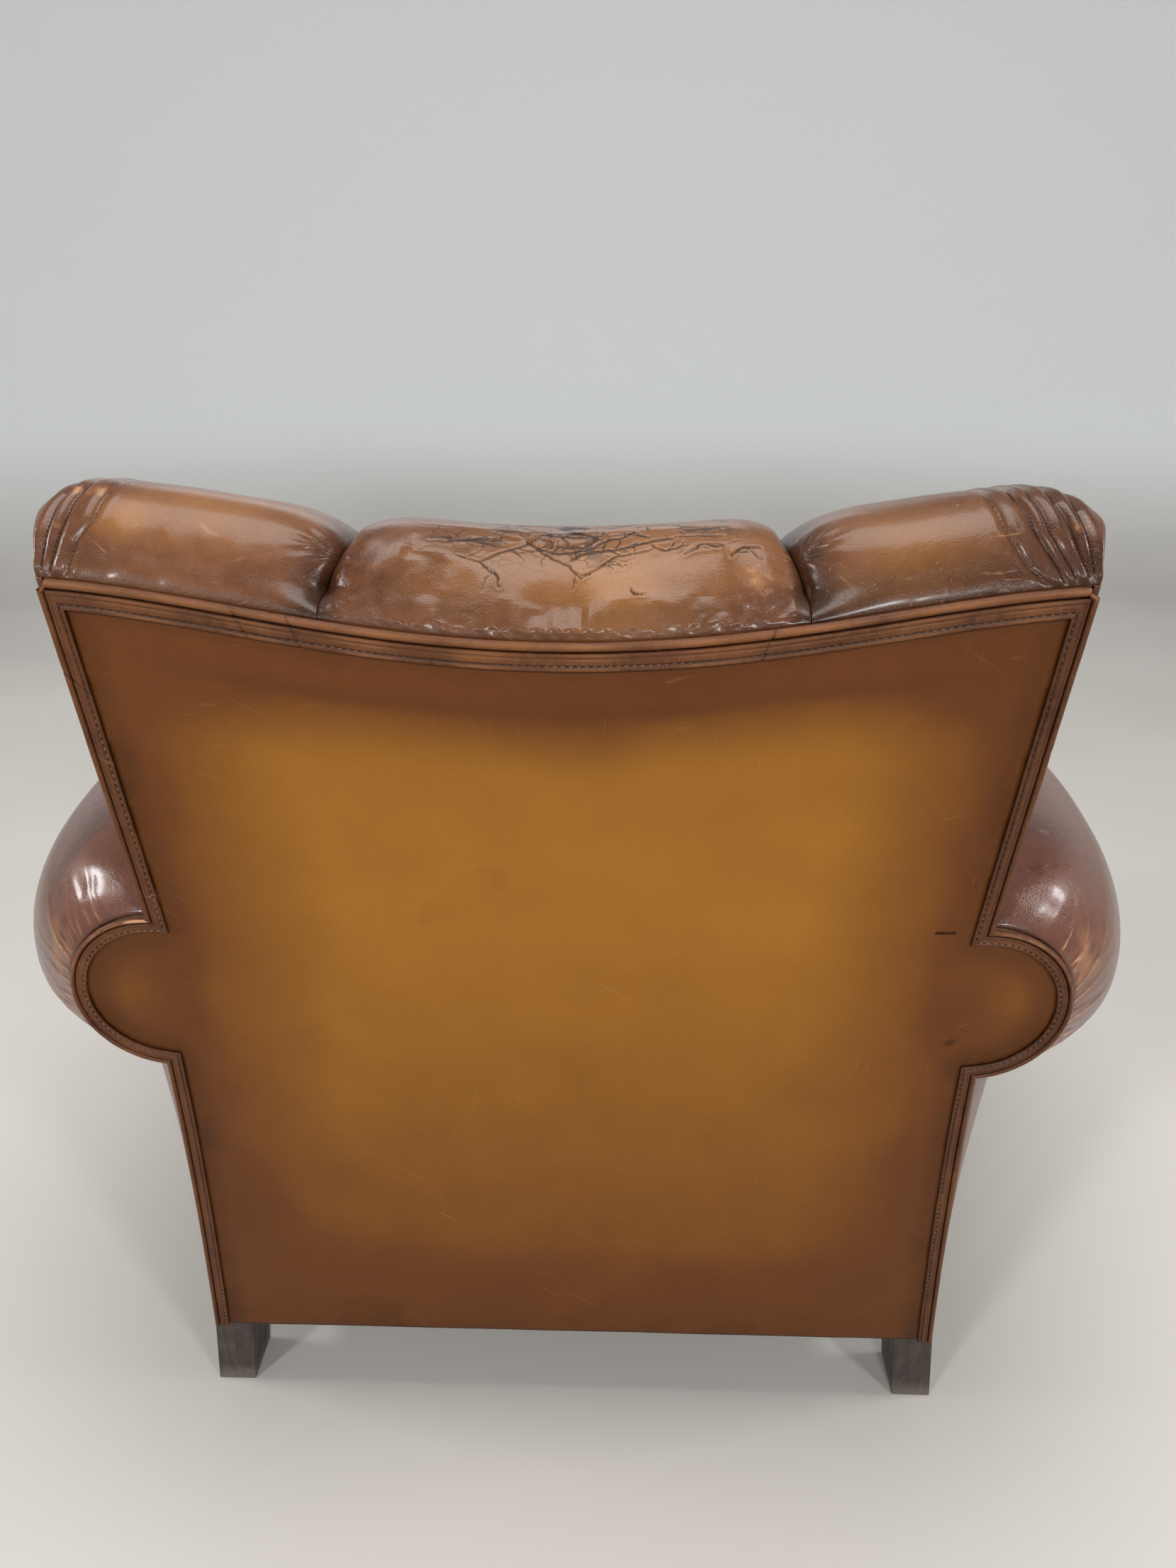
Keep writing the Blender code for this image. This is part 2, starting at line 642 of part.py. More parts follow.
def corner_brace(side, rear):
    """A block cut to both rails, set across the corner clear of the post."""
    rings = []
    for z in BRACE_HEIGHT:
        if rear:
            rail_y = back_y(z, TIMBER_NEAR + RAIL_THICK) - GAP
            post_x = post_outer(z) - POST_WIDTH
            post_y = back_y(z, TIMBER_FAR)
            inwards = -1
        else:
            rail_y = POST_FRONT + RAIL_THICK + GAP
            post_x = FRONT_POST_INNER
            post_y = POST_BACK
            inwards = 1
        ring = [(side * (post_x - BRACE_OFF_POST), rail_y, z),
                (side * (post_x - BRACE_OFF_POST - BRACE), rail_y, z)]
        for off in (BRACE_OFF_POST + BRACE, BRACE_OFF_POST):
            y = post_y + inwards * off
            ring.append((side * (side_rail_outer(y, z) - RAIL_THICK - GAP), y, z))
        rings.append(ring)
    loft(side_name("rear_brace" if rear else "front_brace", side), rings, BEECH)


# Seat

def strap(name, route, lengthways):
    """A webbing strap along its route of (distance, height) points."""
    rings = []
    for (distance, z), across in route:
        ring = []
        for width, up in ((-1, -1), (1, -1), (1, 1), (-1, 1)):
            aside = across + width * STRAP_WIDTH / 2
            place = (aside, distance) if lengthways else (distance, aside)
            ring.append((*place, z + up * WEB / 2))
        rings.append(ring)
    loft(name, rings, JUTE)


def seat_webbing():
    """Straps woven over and under, nailed up to the lower edges of the rails."""
    reach = STRAP_WIDTH / 2 + STRAP_TURN
    rear = back_y(RAIL_BOTTOM, TIMBER_NEAR) - STRAP_SETBACK
    for row, across in enumerate(SPRING_COLUMNS):
        route = [(POST_FRONT + STRAP_SETBACK, STRAP_HIGH)]
        for column, place in enumerate(SPRING_ROWS):
            level = STRAP_HIGH if (row + column) % 2 else STRAP_LOW
            route += [(place - reach, level), (place + reach, level)]
        route.append((rear, STRAP_HIGH))
        strap("strap_lengthways_%d" % (row + 1), [(point, across) for point in route], True)
    for column, along in enumerate(SPRING_ROWS):
        end = side_rail_outer(along + STRAP_WIDTH / 2, RAIL_BOTTOM) - STRAP_SETBACK
        route = [(-end, STRAP_HIGH)]
        for row, place in enumerate(SPRING_COLUMNS):
            level = STRAP_LOW if (row + column) % 2 else STRAP_HIGH
            route += [(place - reach, level), (place + reach, level)]
        route.append((end, STRAP_HIGH))
        strap("strap_crossways_%d" % (column + 1), [(point, along) for point in route], False)


def seat_springs(steps_a_turn=8):
    """Double cone springs, one on each crossing of the straps."""
    low = RAIL_BOTTOM + SPRING_WIRE + GAP
    high = SPRING_TOP - HESSIAN - GAP - SPRING_WIRE - GAP
    steps = int(SPRING_TURNS * steps_a_turn)
    for row, y in enumerate(SPRING_ROWS):
        for column, x in enumerate(SPRING_COLUMNS):
            path = []
            for step in range(steps + 1):
                share = step / steps
                angle = math.tau * SPRING_TURNS * share
                pinch = math.sin(math.pi * share)
                radius = mix(SPRING_END, SPRING_WAIST, pinch)
                path.append((x + radius * math.cos(angle), y + radius * math.sin(angle),
                             mix(low, high, smooth(0, 1, share) * 0.5 + share * 0.5)))
            curve = bpy.data.curves.new("seat_spring", "CURVE")
            curve.dimensions = "3D"
            curve.bevel_depth = SPRING_WIRE
            curve.bevel_resolution = 0
            curve.use_fill_caps = True
            add_path(curve, path)
            add("seat_spring_%d%d" % (row + 1, column + 1), curve, STEEL)


def seat_outline(z, rails):
    """Level ring round the seat; with rails it reaches out over them between the posts."""
    front, rear = POST_FRONT + RAIL_THICK - TACKED, back_y(z, TIMBER_NEAR + RAIL_THICK) + TACKED
    behind_front_post = POST_BACK + CLOTH_MARGIN
    before_rear_post = back_y(z, TIMBER_FAR) - CLOTH_MARGIN
    rear_inner = post_outer(z) - POST_WIDTH - CLOTH_MARGIN
    front_inner = FRONT_POST_INNER - CLOTH_MARGIN
    if rails:
        wide = [side_rail_outer(y, z) - RAIL_THICK / 2 for y in (behind_front_post, before_rear_post)]
    else:
        wide = [well_half(y, 3 * CLOTH_MARGIN) for y in (behind_front_post, before_rear_post)]
        front_inner = min(front_inner, well_half(front, 3 * CLOTH_MARGIN))
    half = [(front_inner, front), (front_inner, behind_front_post - CLOTH_MARGIN / 2),
            (wide[0], behind_front_post), (wide[1], before_rear_post),
            (rear_inner, before_rear_post + CLOTH_MARGIN / 2), (rear_inner, rear)]
    return [(x, y, z) for x, y in half] + [(-x, y, z) for x, y in reversed(half)]


def seat_layers():
    """Hessian over the springs, stuffing, and the deck cover that the cushion lies on."""
    over_rails = seat_outline(RAIL_TOP + GAP + HESSIAN, rails=True)
    over_springs = seat_outline(SPRING_TOP, rails=False)
    tray("seat_hessian", [over_rails, over_springs], HESSIAN, JUTE)

    rear = back_y(STUFFING_TOP, TIMBER_FAR) - SLACK
    well = [(FRONT_POST_INNER, POST_FRONT), (well_half(rear), rear),
            (-well_half(rear), rear), (-FRONT_POST_INNER, POST_FRONT)]

    def ring(inset, z):
        return [(x, y, z) for x, y in offset_path([well[-1], *well, well[0]], inset)[1:-1]]

    under = SPRING_TOP + GAP
    inner = HIDE + SLACK + GAP
    loft("seat_stuffing", [ring(inner, under), ring(inner, STUFFING_TOP - SEAT_ROUNDING),
                           ring(inner + SEAT_ROUNDING, STUFFING_TOP)], HAIR)
    tray("seat_deck_cover", [ring(SLACK, under), ring(SLACK, DECK_TOP - SEAT_ROUNDING),
                             ring(SLACK + SEAT_ROUNDING, DECK_TOP)], HIDE, BROWN)


def front_border():
    """Stuffed leather border in front of the seat rail, round at its upper edge."""
    half = ARM_X - FACING_ROLL - SLACK
    back = POST_FRONT - GAP
    front = FRONT_Y + BORDER_SETBACK
    rear_edge = arc((back - BORDER_REAR, DECK_TOP - BORDER_REAR), BORDER_REAR, 0, 90, 2)
    nose = arc((front + BORDER_NOSE, DECK_TOP - BORDER_NOSE), BORDER_NOSE, 90, 180, 3)
    section = ([(back, SKIRT)] + rear_edge + nose
               + [(front - BORDER_BELLY, mix(SKIRT, DECK_TOP, 0.55)), (front, SKIRT + BORDER_BELLY),
                  (front + BORDER_BELLY, SKIRT)])
    loft("front_border", [[(x, y, z) for y, z in section] for x in (-half, half)], BROWN)


def bottom_cloth():
    outline = seat_outline(RAIL_BOTTOM, rails=True)
    high = STRAP_LOW - WEB / 2 - GAP
    loft("bottom_cloth", [[(x, y, z) for x, y, _ in outline] for z in (high - CLOTH, high)], BLACK)


def seat_cushion():
    """Loose cushion, boxed and crowned, its front flush with the arm fronts."""
    bottom = DECK_TOP + GAP
    top = bottom + CUSHION_HEIGHT
    rear = min(y for y, _ in pad_face()) - CUSHION_CLEAR
    edge = CUSHION_EDGE
    section = [(edge, bottom), (edge / 4, bottom + edge / 3), (0, bottom + edge), (0, top - edge),
               (edge / 4, top - edge / 3), (edge, top), (0.25 * CUSHION_HALF, top + 0.7 * CUSHION_CROWN),
               (0.6 * CUSHION_HALF, top + CUSHION_CROWN)]
    rings = []
    for inset, z in section:
        half, front, back = CUSHION_HALF - inset, FRONT_Y + inset, rear - inset
        ring = []
        for x, y, start in ((half, front, -90), (half, back, 0), (-half, back, 90), (-half, front, 180)):
            centre = (x - math.copysign(CUSHION_CORNER, x), y + (CUSHION_CORNER if y == front else -CUSHION_CORNER))
            ring += [(*place, z) for place in arc(centre, CUSHION_CORNER, start, start + 90, 4)]
        rings.append(ring)
    loft("seat_cushion", rings, BROWN)


# Arms and back

def arm_upholstery(side, frame):
    """Stuffing round the arm rail, the leather over it, and the outside arm panel."""
    rear = ARM_REAR - (BOARD + SLACK) / math.cos(RAKE)
    rings = []
    for y in arm_stations(POST_FRONT + SLACK, rear):
        section = arm_section(y, HIDE * math.hypot(1, arm_lean(y)) + SLACK)
        rail_inner, rail_outer = arm_rail_faces(y)
        under, over = ARM_RAIL_BOTTOM - SLACK, ARM_RAIL_TOP + SLACK
        outer = max(rail_outer, post_outer(ARM_Z, TIMBER_NEAR)) + SLACK
        leg = section[0][0] + ARM_PAD
        core = [(outer, under), (outer, over), (rail_inner - SLACK, over), (rail_inner - SLACK, under),
                (leg, under - 4 * SLACK), (leg, section[0][1])]
        rings.append([arm_place(side, y, x, z) for x, z in section + core])
    cut(loft(side_name("arm_stuffing", side), rings, HAIR), frame)

    rows = [[arm_place(side, y, x, z) for x, z in arm_section(y)]
            for y in arm_stations(FRONT_TIMBER, ARM_REAR)]
    cut(sheet(side_name("arm_leather", side), rows[::side], HIDE, BROWN), frame)

    rows = []
    for y in arm_stations(FRONT_TIMBER, ARM_REAR):
        low, high = SKIRT * math.cos(RAKE), roll_underside(y) - 2 * GAP
        row = []
        for share in (1.0, 0.6, 0.3, 0.0):
            z = mix(low, high, share)
            row.append(arm_place(side, y, outside_arm_x(y, z), z))
        rows.append(row)
    sheet(side_name("outside_arm", side), rows[::side], HIDE, BROWN)


def arm_front(side, front_plane):
    """Leather facing on the arm board, and the piping sewn round it."""
    outline = [(side * x, up) for x, up in facing_path(2 * PIPING + GAP)]
    plate(side_name("arm_facing", side), outline, PANEL_NEAR, PANEL_NEAR + HIDE, front_plane, BROWN)
    path = [(side * x, up) for x, up in soften(facing_path(PIPING), CORNER)]
    cord(side_name("arm_piping", side), path, PIPING, HIDE, front_plane, DARK)


def outside_back(back_plane):
    """Flat hide panel, the band nailed over its edge, and the piping round the band."""
    inner = 2 * PIPING + GAP
    edge = mirrored(soften(back_half(inner), CORNER - inner + PIPING))
    plate("outside_back", edge, PANEL_NEAR, PANEL_NEAR + HIDE, back_plane, TAN)
    band = edge + mirrored(back_half(BAND_WIDTH))[::-1]
    plate("back_band", band, 0.0, HIDE, back_plane, DARK)
    path = mirrored(soften(back_half(PIPING), CORNER))
    cord("back_piping", path, PIPING, HIDE, back_plane, DARK)
    turn = POST_WIDTH - TACKED
    rail = [(z - TIMBER_FAR * math.sin(RAKE)) / math.cos(RAKE) + off
            for z, off in ((ARM_RAIL_BOTTOM, -SLACK), (ARM_RAIL_TOP, SLACK))]
    heights = [(BACK_TACK_RAIL[0] + SLACK, turn), (UNDER_ARM[1], turn), (rail[0], turn),
               (rail[0], POST_WIDTH), (rail[1], POST_WIDTH), (rail[1], turn),
               (WAIST[1], turn), (TOP_MIDDLE - TIMBER_INSET - TOP_RAIL_HEIGHT + TACKED, turn)]
    outline = [(side_edge(up) - TIMBER_INSET - inwards, up) for up, inwards in heights]
    plate("back_hessian", outline + [(-x, up) for x, up in reversed(outline)],
          TIMBER_FAR + GAP, TIMBER_FAR + GAP + HESSIAN, back_plane, JUTE)


def frame_cutter():
    """The room that the frame of the back takes up, with its hessian and a small clearance."""
    edge = TIMBER_INSET - 2 * GAP
    half = [(side_edge(up) - edge, up) for up in (SKIRT, UNDER_ARM[1], WAIST[1])]
    end = TOP_RAIL_END + 2 * GAP
    half += [(end, TOP_CORNER[1] - TOP_RAIL_HEIGHT), (end, top_edge(end) - edge)]
    half += [(x, up - edge) for x, up in reversed(top_line()) if x < end]
    far = TIMBER_FAR + HESSIAN + 2 * GAP
    rings = [[on_back(x, up, depth) for x, up in mirrored(half)] for depth in (-far, far)]
    return loft("frame_cutter", rings, None, CUTTERS)


def arm_cutter(side):
    """The room that a stuffed arm takes up, run on past its rear end."""
    rings = []
    for y in arm_stations(FRONT_TIMBER, ARM_REAR):
        section = arm_section(y, -2 * GAP)
        section = [(section[0][0], PAD_BOTTOM - SLACK)] + section[1:] + [(section[-1][0], PAD_BOTTOM - SLACK)]
        rings.append([arm_place(side, y, x, z) for x, z in section])
    rings.append([(x, y + TIMBER_FAR, z) for x, y, z in rings[-1]])
    return loft(side_name("arm_cutter", side), rings, None, CUTTERS)


def pad_seam(z):
    """Half-width of the middle pad, whose sides are flat."""
    return mix(SEAM_SEAT, SEAM_TOP, (z - PAD_BOTTOM) / (TOP_MIDDLE - PAD_BOTTOM))


def pad_outer(y, z):
    """Outer side of an outer pad: between the arms, and above them round the side of the back."""
    ahead = back_y(z, TIMBER_NEAR) - y
    flared = side_edge(z / math.cos(RAKE)) - GAP + PAD_BULGE * smooth(0, CREST_DEPTH, ahead)
    return mix(PAD_HALF, flared, smooth(ARM_Z, ARM_Z + CREST_DEPTH, z))


def pad_face():
    """The pads' front in section, from below the crest down to the seat."""
    heights = [(mix(PAD_BOTTOM, TOP_MIDDLE, share), depth) for share, depth in reversed(PAD_DEPTH)]
    return [(back_y(z) - depth, z) for z, depth in heights]


def pad_profile(x, inset):
    """The pads' section at a place across the back: up the frame, over the crest, down to the seat."""
    _, rear_y, rear_z = on_back(x, top_edge(x), TIMBER_NEAR)
    crest = (rear_y - CREST_DEPTH, rear_z + PAD_RISE)
    over = bezier(((rear_y, rear_z), (rear_y, rear_z + PAD_RISE / 2),
                   (rear_y - CREST_DEPTH / 2, crest[1]), crest), 4)
    front = pad_face()
    slope = (front[0][0] - front[1][0], front[0][1] - front[1][1])
    down = bezier((crest, (crest[0] - PAD_TOP, crest[1]),
                   (front[0][0] + slope[0], front[0][1] + slope[1]), front[0]), 5)
    skin_path = over + down[1:-1] + front
    drawn_in = offset_path(skin_path, inset)
    drawn_in[:2] = [skin_path[0], tuple(mix(a, b, 0.5) for a, b in zip(skin_path[1], drawn_in[1]))]
    behind = [(back_y(z, TIMBER_NEAR), z) for z in (PAD_BOTTOM, ARM_Z, ARM_Z + CREST_DEPTH)]
    return behind + drawn_in


def back_pads(frame):
    """Three stuffed pads that rise from the seat and roll over the top rail to the band."""
    to_seam = [(1.0, SEAM_PUCKER), (0.96, SEAM_PUCKER / 3), (0.8, 0), (0.4, 0)]
    stations = [(-share, inset) for share, inset in to_seam] + [(0.0, 0)] + to_seam[::-1]
    rings = []
    for share, inset in stations:
        ring = pad_profile(share * SEAM_TOP, inset)
        rings.append([(share * (pad_seam(z) - GAP), y, z) for y, z in ring])
    cut(loft("back_pad_middle", rings, BROWN), frame)

    stations = [(1 - share, inset) for share, inset in to_seam] + [(0.8, 0), (0.9, PAD_SHOULDER / 8)]
    stations += [(0.97, 0.4 * PAD_SHOULDER), (1.0, PAD_SHOULDER)]
    for side in (1, -1):
        rings = []
        for share, inset in stations:
            ring = pad_profile(mix(SEAM_TOP, TOP_CORNER[0], share), inset)
            rings.append([(side * mix(pad_seam(z) + GAP, pad_outer(y, z), share), y, z) for y, z in ring])
        pad = loft(side_name("back_pad", side), rings, BROWN)
        cut(pad, frame)
        cut(pad, arm_cutter(side))


def main():
    for obj in list(bpy.data.objects):
        bpy.data.objects.remove(obj, do_unlink=True)
    for name in (PIECES, CUTTERS):
        bpy.context.scene.collection.children.link(bpy.data.collections.new(name))
    back_plane = plane("back_plane", REAR_Y, math.pi / 2 - RAKE)
    front_plane = plane("front_plane", FRONT_Y, math.pi / 2)

    frame = frame_cutter()

    cross_rails(back_plane)
    for side in (1, -1):
        rear_post(side)
        front_post(side)
        side_rail(side)
        arm_rails(side)
        arm_boards(side, front_plane, back_plane)
        corner_brace(side, rear=False)
        corner_brace(side, rear=True)
        arm_upholstery(side, frame)
        arm_front(side, front_plane)

    seat_webbing()
    seat_springs()
    seat_layers()
    front_border()
    bottom_cloth()
    seat_cushion()
    outside_back(back_plane)
    back_pads(frame)


main()
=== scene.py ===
# %% [markdown]
# # A worn leather club chair
# The joined frame, springs and stuffing of this chair come ready made. What is left is the
# upholsterer's work: hide that is cut, stretched, stuffed, piped and stitched over that frame,
# and then eighty years of use. Each step below makes one piece or one finish.
# Everything is in metres. The chair faces -Y, so its outside back looks at the camera on +Y.

# %% Load the frame of the chair
import json
import math

import bmesh
import bpy
import numpy as np
from mathutils import Matrix, Vector


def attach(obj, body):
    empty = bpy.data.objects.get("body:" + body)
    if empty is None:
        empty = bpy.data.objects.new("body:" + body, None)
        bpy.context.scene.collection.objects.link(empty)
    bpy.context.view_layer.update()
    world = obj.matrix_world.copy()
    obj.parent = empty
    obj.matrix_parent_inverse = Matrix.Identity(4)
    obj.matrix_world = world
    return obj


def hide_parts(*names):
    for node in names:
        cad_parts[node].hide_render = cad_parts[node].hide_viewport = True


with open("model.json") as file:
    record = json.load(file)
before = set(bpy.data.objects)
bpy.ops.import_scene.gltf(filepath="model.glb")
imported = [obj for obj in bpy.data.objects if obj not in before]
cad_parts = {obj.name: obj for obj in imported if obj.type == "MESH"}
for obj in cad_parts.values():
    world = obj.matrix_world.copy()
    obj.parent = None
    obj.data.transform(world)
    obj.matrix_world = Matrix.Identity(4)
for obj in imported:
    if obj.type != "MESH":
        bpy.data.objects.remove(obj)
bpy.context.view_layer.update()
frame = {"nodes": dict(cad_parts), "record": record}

# %% [markdown]
# ## Sizes
# The hide has to lie on the frame, so the sizes of the frame's outline are written down here
# again: the raked plane of the back, its flared sides, the round ears over the arms and the
# dipped top line. Hide is 2.5 mm thick, and pieces that touch lie 0.3 mm apart.

# %% Sizes of the frame
GAP = 0.0003
HIDE = 0.0025
HESSIAN = 0.0015
RAKE = math.radians(6)
REAR_Y = 0.352
SKIRT = 0.0794
BACK_HALF = 0.2875
BASE_FLARE, TOP_FLARE, TOP_DIP = 0.021, 0.0215, 0.0376
BASE_HALF = BACK_HALF + BASE_FLARE
TOP_CORNER = (BACK_HALF + TOP_FLARE, 0.7485)
TOP_MIDDLE = TOP_CORNER[1] - TOP_DIP
EAR_OUT, UNDER_ARM_OUT, UNDER_ARM_OFF_EAR = 0.0025, 0.0108, 0.0083
EAR_CENTRE = (BACK_HALF + EAR_OUT, 0.441)
EAR_RADIUS = 0.0655
UNDER_ARM = (BACK_HALF + UNDER_ARM_OUT,
             EAR_CENTRE[1] - math.sqrt(EAR_RADIUS ** 2 - UNDER_ARM_OFF_EAR ** 2))
WAIST = (BACK_HALF, EAR_CENTRE[1] + math.sqrt(EAR_RADIUS ** 2 - EAR_OUT ** 2))
PIPING = 0.003
CORNER = 0.008
PANEL_NEAR = HIDE + 2 * GAP
TIMBER_NEAR = PANEL_NEAR + HIDE + GAP
TIMBER_INSET = HIDE + 3 * GAP
POST_DEPTH = 0.045
FRAME_FAR = TIMBER_NEAR + POST_DEPTH + HESSIAN + 3 * GAP
FRAME_EDGE = TIMBER_INSET - 2 * GAP
DECK_TOP = 0.2928
HANDS = {1: "left", -1: "right"}


def mix(first, second, share):
    return first + (second - first) * share


def smooth(low, high, value):
    """0 below low, 1 above high, and an S between them."""
    share = np.clip((value - low) / (high - low), 0.0, 1.0)
    return share * share * (3 - 2 * share)


def hump(value, centre, width):
    """1 at the centre, falling to a third of it one width away."""
    return np.exp(-((value - centre) / width) ** 2)


def bezier(corners, t):
    """Points on a cubic curve, for any array of places t along it."""
    a, b, c, d = (np.asarray(corner, float) for corner in corners)
    t = np.asarray(t, float)[..., None]
    return (1 - t) ** 3 * a + 3 * t * (1 - t) ** 2 * b + 3 * t * t * (1 - t) * c + t ** 3 * d


def on_back(x, up, depth):
    """World place of a point given across, up and into the raked plane."""
    x, up, depth = np.broadcast_arrays(x, up, depth)
    return np.stack([x, REAR_Y + up * math.sin(RAKE) - depth * math.cos(RAKE),
                     up * math.cos(RAKE) + depth * math.sin(RAKE)], -1)


def in_back(points):
    """Height up the raked plane, and depth behind it, of world points."""
    y, z = points[..., 1] - REAR_Y, points[..., 2]
    return y * math.sin(RAKE) + z * math.cos(RAKE), z * math.sin(RAKE) - y * math.cos(RAKE)


def back_y(z, depth=0.0):
    return REAR_Y + z * math.tan(RAKE) - depth / math.cos(RAKE)


RISE = TOP_CORNER[1] - TOP_MIDDLE
TOP_LINE = bezier(((0, TOP_MIDDLE), (0.42 * TOP_CORNER[0], TOP_MIDDLE),
                   (0.70 * TOP_CORNER[0], TOP_MIDDLE + 0.83 * RISE), TOP_CORNER), np.linspace(0, 1, 41))


def top_edge(x):
    """Height of the top line at a distance from the middle."""
    return np.interp(np.abs(x), TOP_LINE[:, 0], TOP_LINE[:, 1])


def side_edge(up):
    """Half-width of the back at a height, without its ear."""
    return np.interp(up, [SKIRT, UNDER_ARM[1], WAIST[1], TOP_CORNER[1]],
                     [BASE_HALF, UNDER_ARM[0], WAIST[0], TOP_CORNER[0]])


def lower_side():
    """The side from the skirt up to the arm."""
    flare, height = BASE_HALF - UNDER_ARM[0], UNDER_ARM[1] - SKIRT
    return bezier(((BASE_HALF, SKIRT), (BASE_HALF - 0.55 * flare, SKIRT + 0.33 * height),
                   (UNDER_ARM[0], SKIRT + 0.67 * height), UNDER_ARM), np.linspace(0, 1, 25))


def ear():
    """The round of leather over the arm scroll, from under the arm to the waist."""
    ends = [math.atan2(p[1] - EAR_CENTRE[1], p[0] - EAR_CENTRE[0]) for p in (UNDER_ARM, WAIST)]
    turn = np.linspace(*ends, 49)
    return np.stack([EAR_CENTRE[0] + EAR_RADIUS * np.cos(turn),
                     EAR_CENTRE[1] + EAR_RADIUS * np.sin(turn)], -1)


def sides_of_back():
    """The outline of the back as seven runs between its corners, from right foot to left foot."""
    right = [lower_side(), ear(), np.array([WAIST, TOP_CORNER])]
    whole_top = np.concatenate([TOP_LINE[::-1], TOP_LINE[1:] * (-1, 1)])
    left = [run[::-1] * (-1, 1) for run in reversed(right)]
    return right + [whole_top] + left


print("outline of the back: %.3f m wide at the skirt, %.3f m at the top corners"
      % (2 * BASE_HALF, 2 * TOP_CORNER[0]))

# %% [markdown]
# ## The camera and the room
# The chair is seen from behind and from standing height, so the camera stands on +Y and looks
# down 22 degrees. Its lens is given against the picture's long side. The room is a bowl: a pale
# floor that turns up into a pale wall all the way round, so there is no line where they meet.

# %% Camera
PICTURE = (1659, 2212)
FOCAL_PIXELS, SENSOR = 1600, 36.0
EYE = np.array([-0.033, 1.083, 0.886])
LOOK_DOWN, LOOK_ASIDE, TILT = (math.radians(a) for a in (22.25, -1.53, 0.13))

forward = np.array([-math.sin(LOOK_ASIDE) * math.cos(LOOK_DOWN),
                    -math.cos(LOOK_ASIDE) * math.cos(LOOK_DOWN), -math.sin(LOOK_DOWN)])
level = np.array([-math.cos(LOOK_ASIDE), math.sin(LOOK_ASIDE), 0.0])
upright = np.cross(level, forward)
across = level * math.cos(TILT) + upright * math.sin(TILT)
upwards = upright * math.cos(TILT) - level * math.sin(TILT)


def stood(obj, axes, place):
    """An object turned to three axes and put at a place."""
    rows = np.stack(axes, -1)
    obj.matrix_world = Matrix([[*row, where] for row, where in zip(rows, place)] + [[0, 0, 0, 1]])


camera = bpy.data.objects.new("camera", bpy.data.cameras.new("camera"))
bpy.context.scene.collection.objects.link(camera)
camera.data.sensor_fit = "AUTO"
camera.data.sensor_width = SENSOR
camera.data.lens = SENSOR * FOCAL_PIXELS / PICTURE[1]
stood(camera, [across, upwards, -forward], EYE)
bpy.context.scene.camera = camera
print("lens %.2f mm" % camera.data.lens)

# %% [markdown]
# ## A bench for meshes and for finishes
# A few helpers save repeating the same lines. `weave` joins a grid of points into quads, `piece`
# makes an object from them, `fit` hangs it on the frame, and `wire` places a node and joins its
# inputs. Uneven shapes come from `ripple`, which gives the same waves on every run.

# %% Helpers for meshes
def weave(rows, columns, ring=False):
    """Quads of a grid whose points are listed row by row; a ring joins its last column to its first."""
    row = np.arange(rows - 1)[:, None]
    column = np.arange(columns if ring else columns - 1)[None, :]
    after = (column + 1) % columns
    corners = np.broadcast_arrays(row * columns + column, row * columns + after,
                                  (row + 1) * columns + after, (row + 1) * columns + column)
    return np.stack(corners, -1).reshape(-1, 4)


def tube(rows, columns):
    """Faces of a tube made of closed rows of points, with its two ends filled."""
    ends = [list(range(columns)), list(range((rows - 1) * columns, rows * columns))[::-1]]
    return weave(rows, columns, ring=True).tolist() + ends


def into_scene(name, data):
    """A new object in the scene."""
    obj = bpy.data.objects.new(name, data)
    bpy.context.scene.collection.objects.link(obj)
    return obj


def as_made(obj):
    """A plain mesh of an object as its modifiers make it."""
    return bpy.data.meshes.new_from_object(obj.evaluated_get(bpy.context.evaluated_depsgraph_get()))


def piece(name, points, faces, finish, marks=None, flat_map=None):
    """An object from points and faces; marks are numbers painted on its points for the finish."""
    mesh = bpy.data.meshes.new(name)
    points = np.asarray(points, float).reshape(-1, 3)
    mesh.from_pydata(points.tolist(), [], [list(map(int, face)) for face in faces])
    mesh.update()
    mesh.shade_smooth()
    for mark, values in (marks or {}).items():
        layer = mesh.attributes.new(mark, "FLOAT", "POINT")
        layer.data.foreach_set("value", np.asarray(values, np.float32).ravel())
    if flat_map is not None:
        corner = np.zeros(len(mesh.loops), np.int32)
        mesh.loops.foreach_get("vertex_index", corner)
        layer = mesh.uv_layers.new(name="flat")
        layer.data.foreach_set("uv", np.asarray(flat_map, np.float32).reshape(-1, 2)[corner].ravel())
    mesh.materials.append(finish)
    return into_scene(name, mesh)


def tidy(obj, near=1e-5, slivers=True):
    """Merge points that coincide, take slivers out and turn every face outwards."""
    shape = bmesh.new()
    shape.from_mesh(obj.data)
    bmesh.ops.remove_doubles(shape, verts=shape.verts, dist=near)
    if slivers:
        bmesh.ops.dissolve_degenerate(shape, edges=shape.edges, dist=near / 10)
    bmesh.ops.recalc_face_normals(shape, faces=shape.faces)
    shape.to_mesh(obj.data)
    shape.free()
    return obj


def face_towards(obj, way):
    """Turn the faces of a sheet over if they look away from this direction."""
    if np.mean([face.normal.dot(Vector(way)) for face in obj.data.polygons]) < 0:
        obj.data.flip_normals()


def area_of(obj):
    return sum(face.area for face in obj.data.polygons)


# A hide is made a little thinner than it is, so that it stays clear of what it lies on.
SKIN = HIDE - 0.0002


def wall(obj, thickness=SKIN):
    """Give a sheet of hide its thickness, inwards."""
    skin = obj.modifiers.new("thickness of hide", "SOLIDIFY")
    skin.thickness = thickness
    skin.offset = -1
    return obj


def fit(obj, slot, *nodes):
    """The finished piece rides on the chair and stands for these nodes of its frame."""
    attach(obj, "root")
    if nodes:
        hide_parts(*nodes)
    print("%-24s %6d faces" % (obj.name, len(obj.data.polygons)))


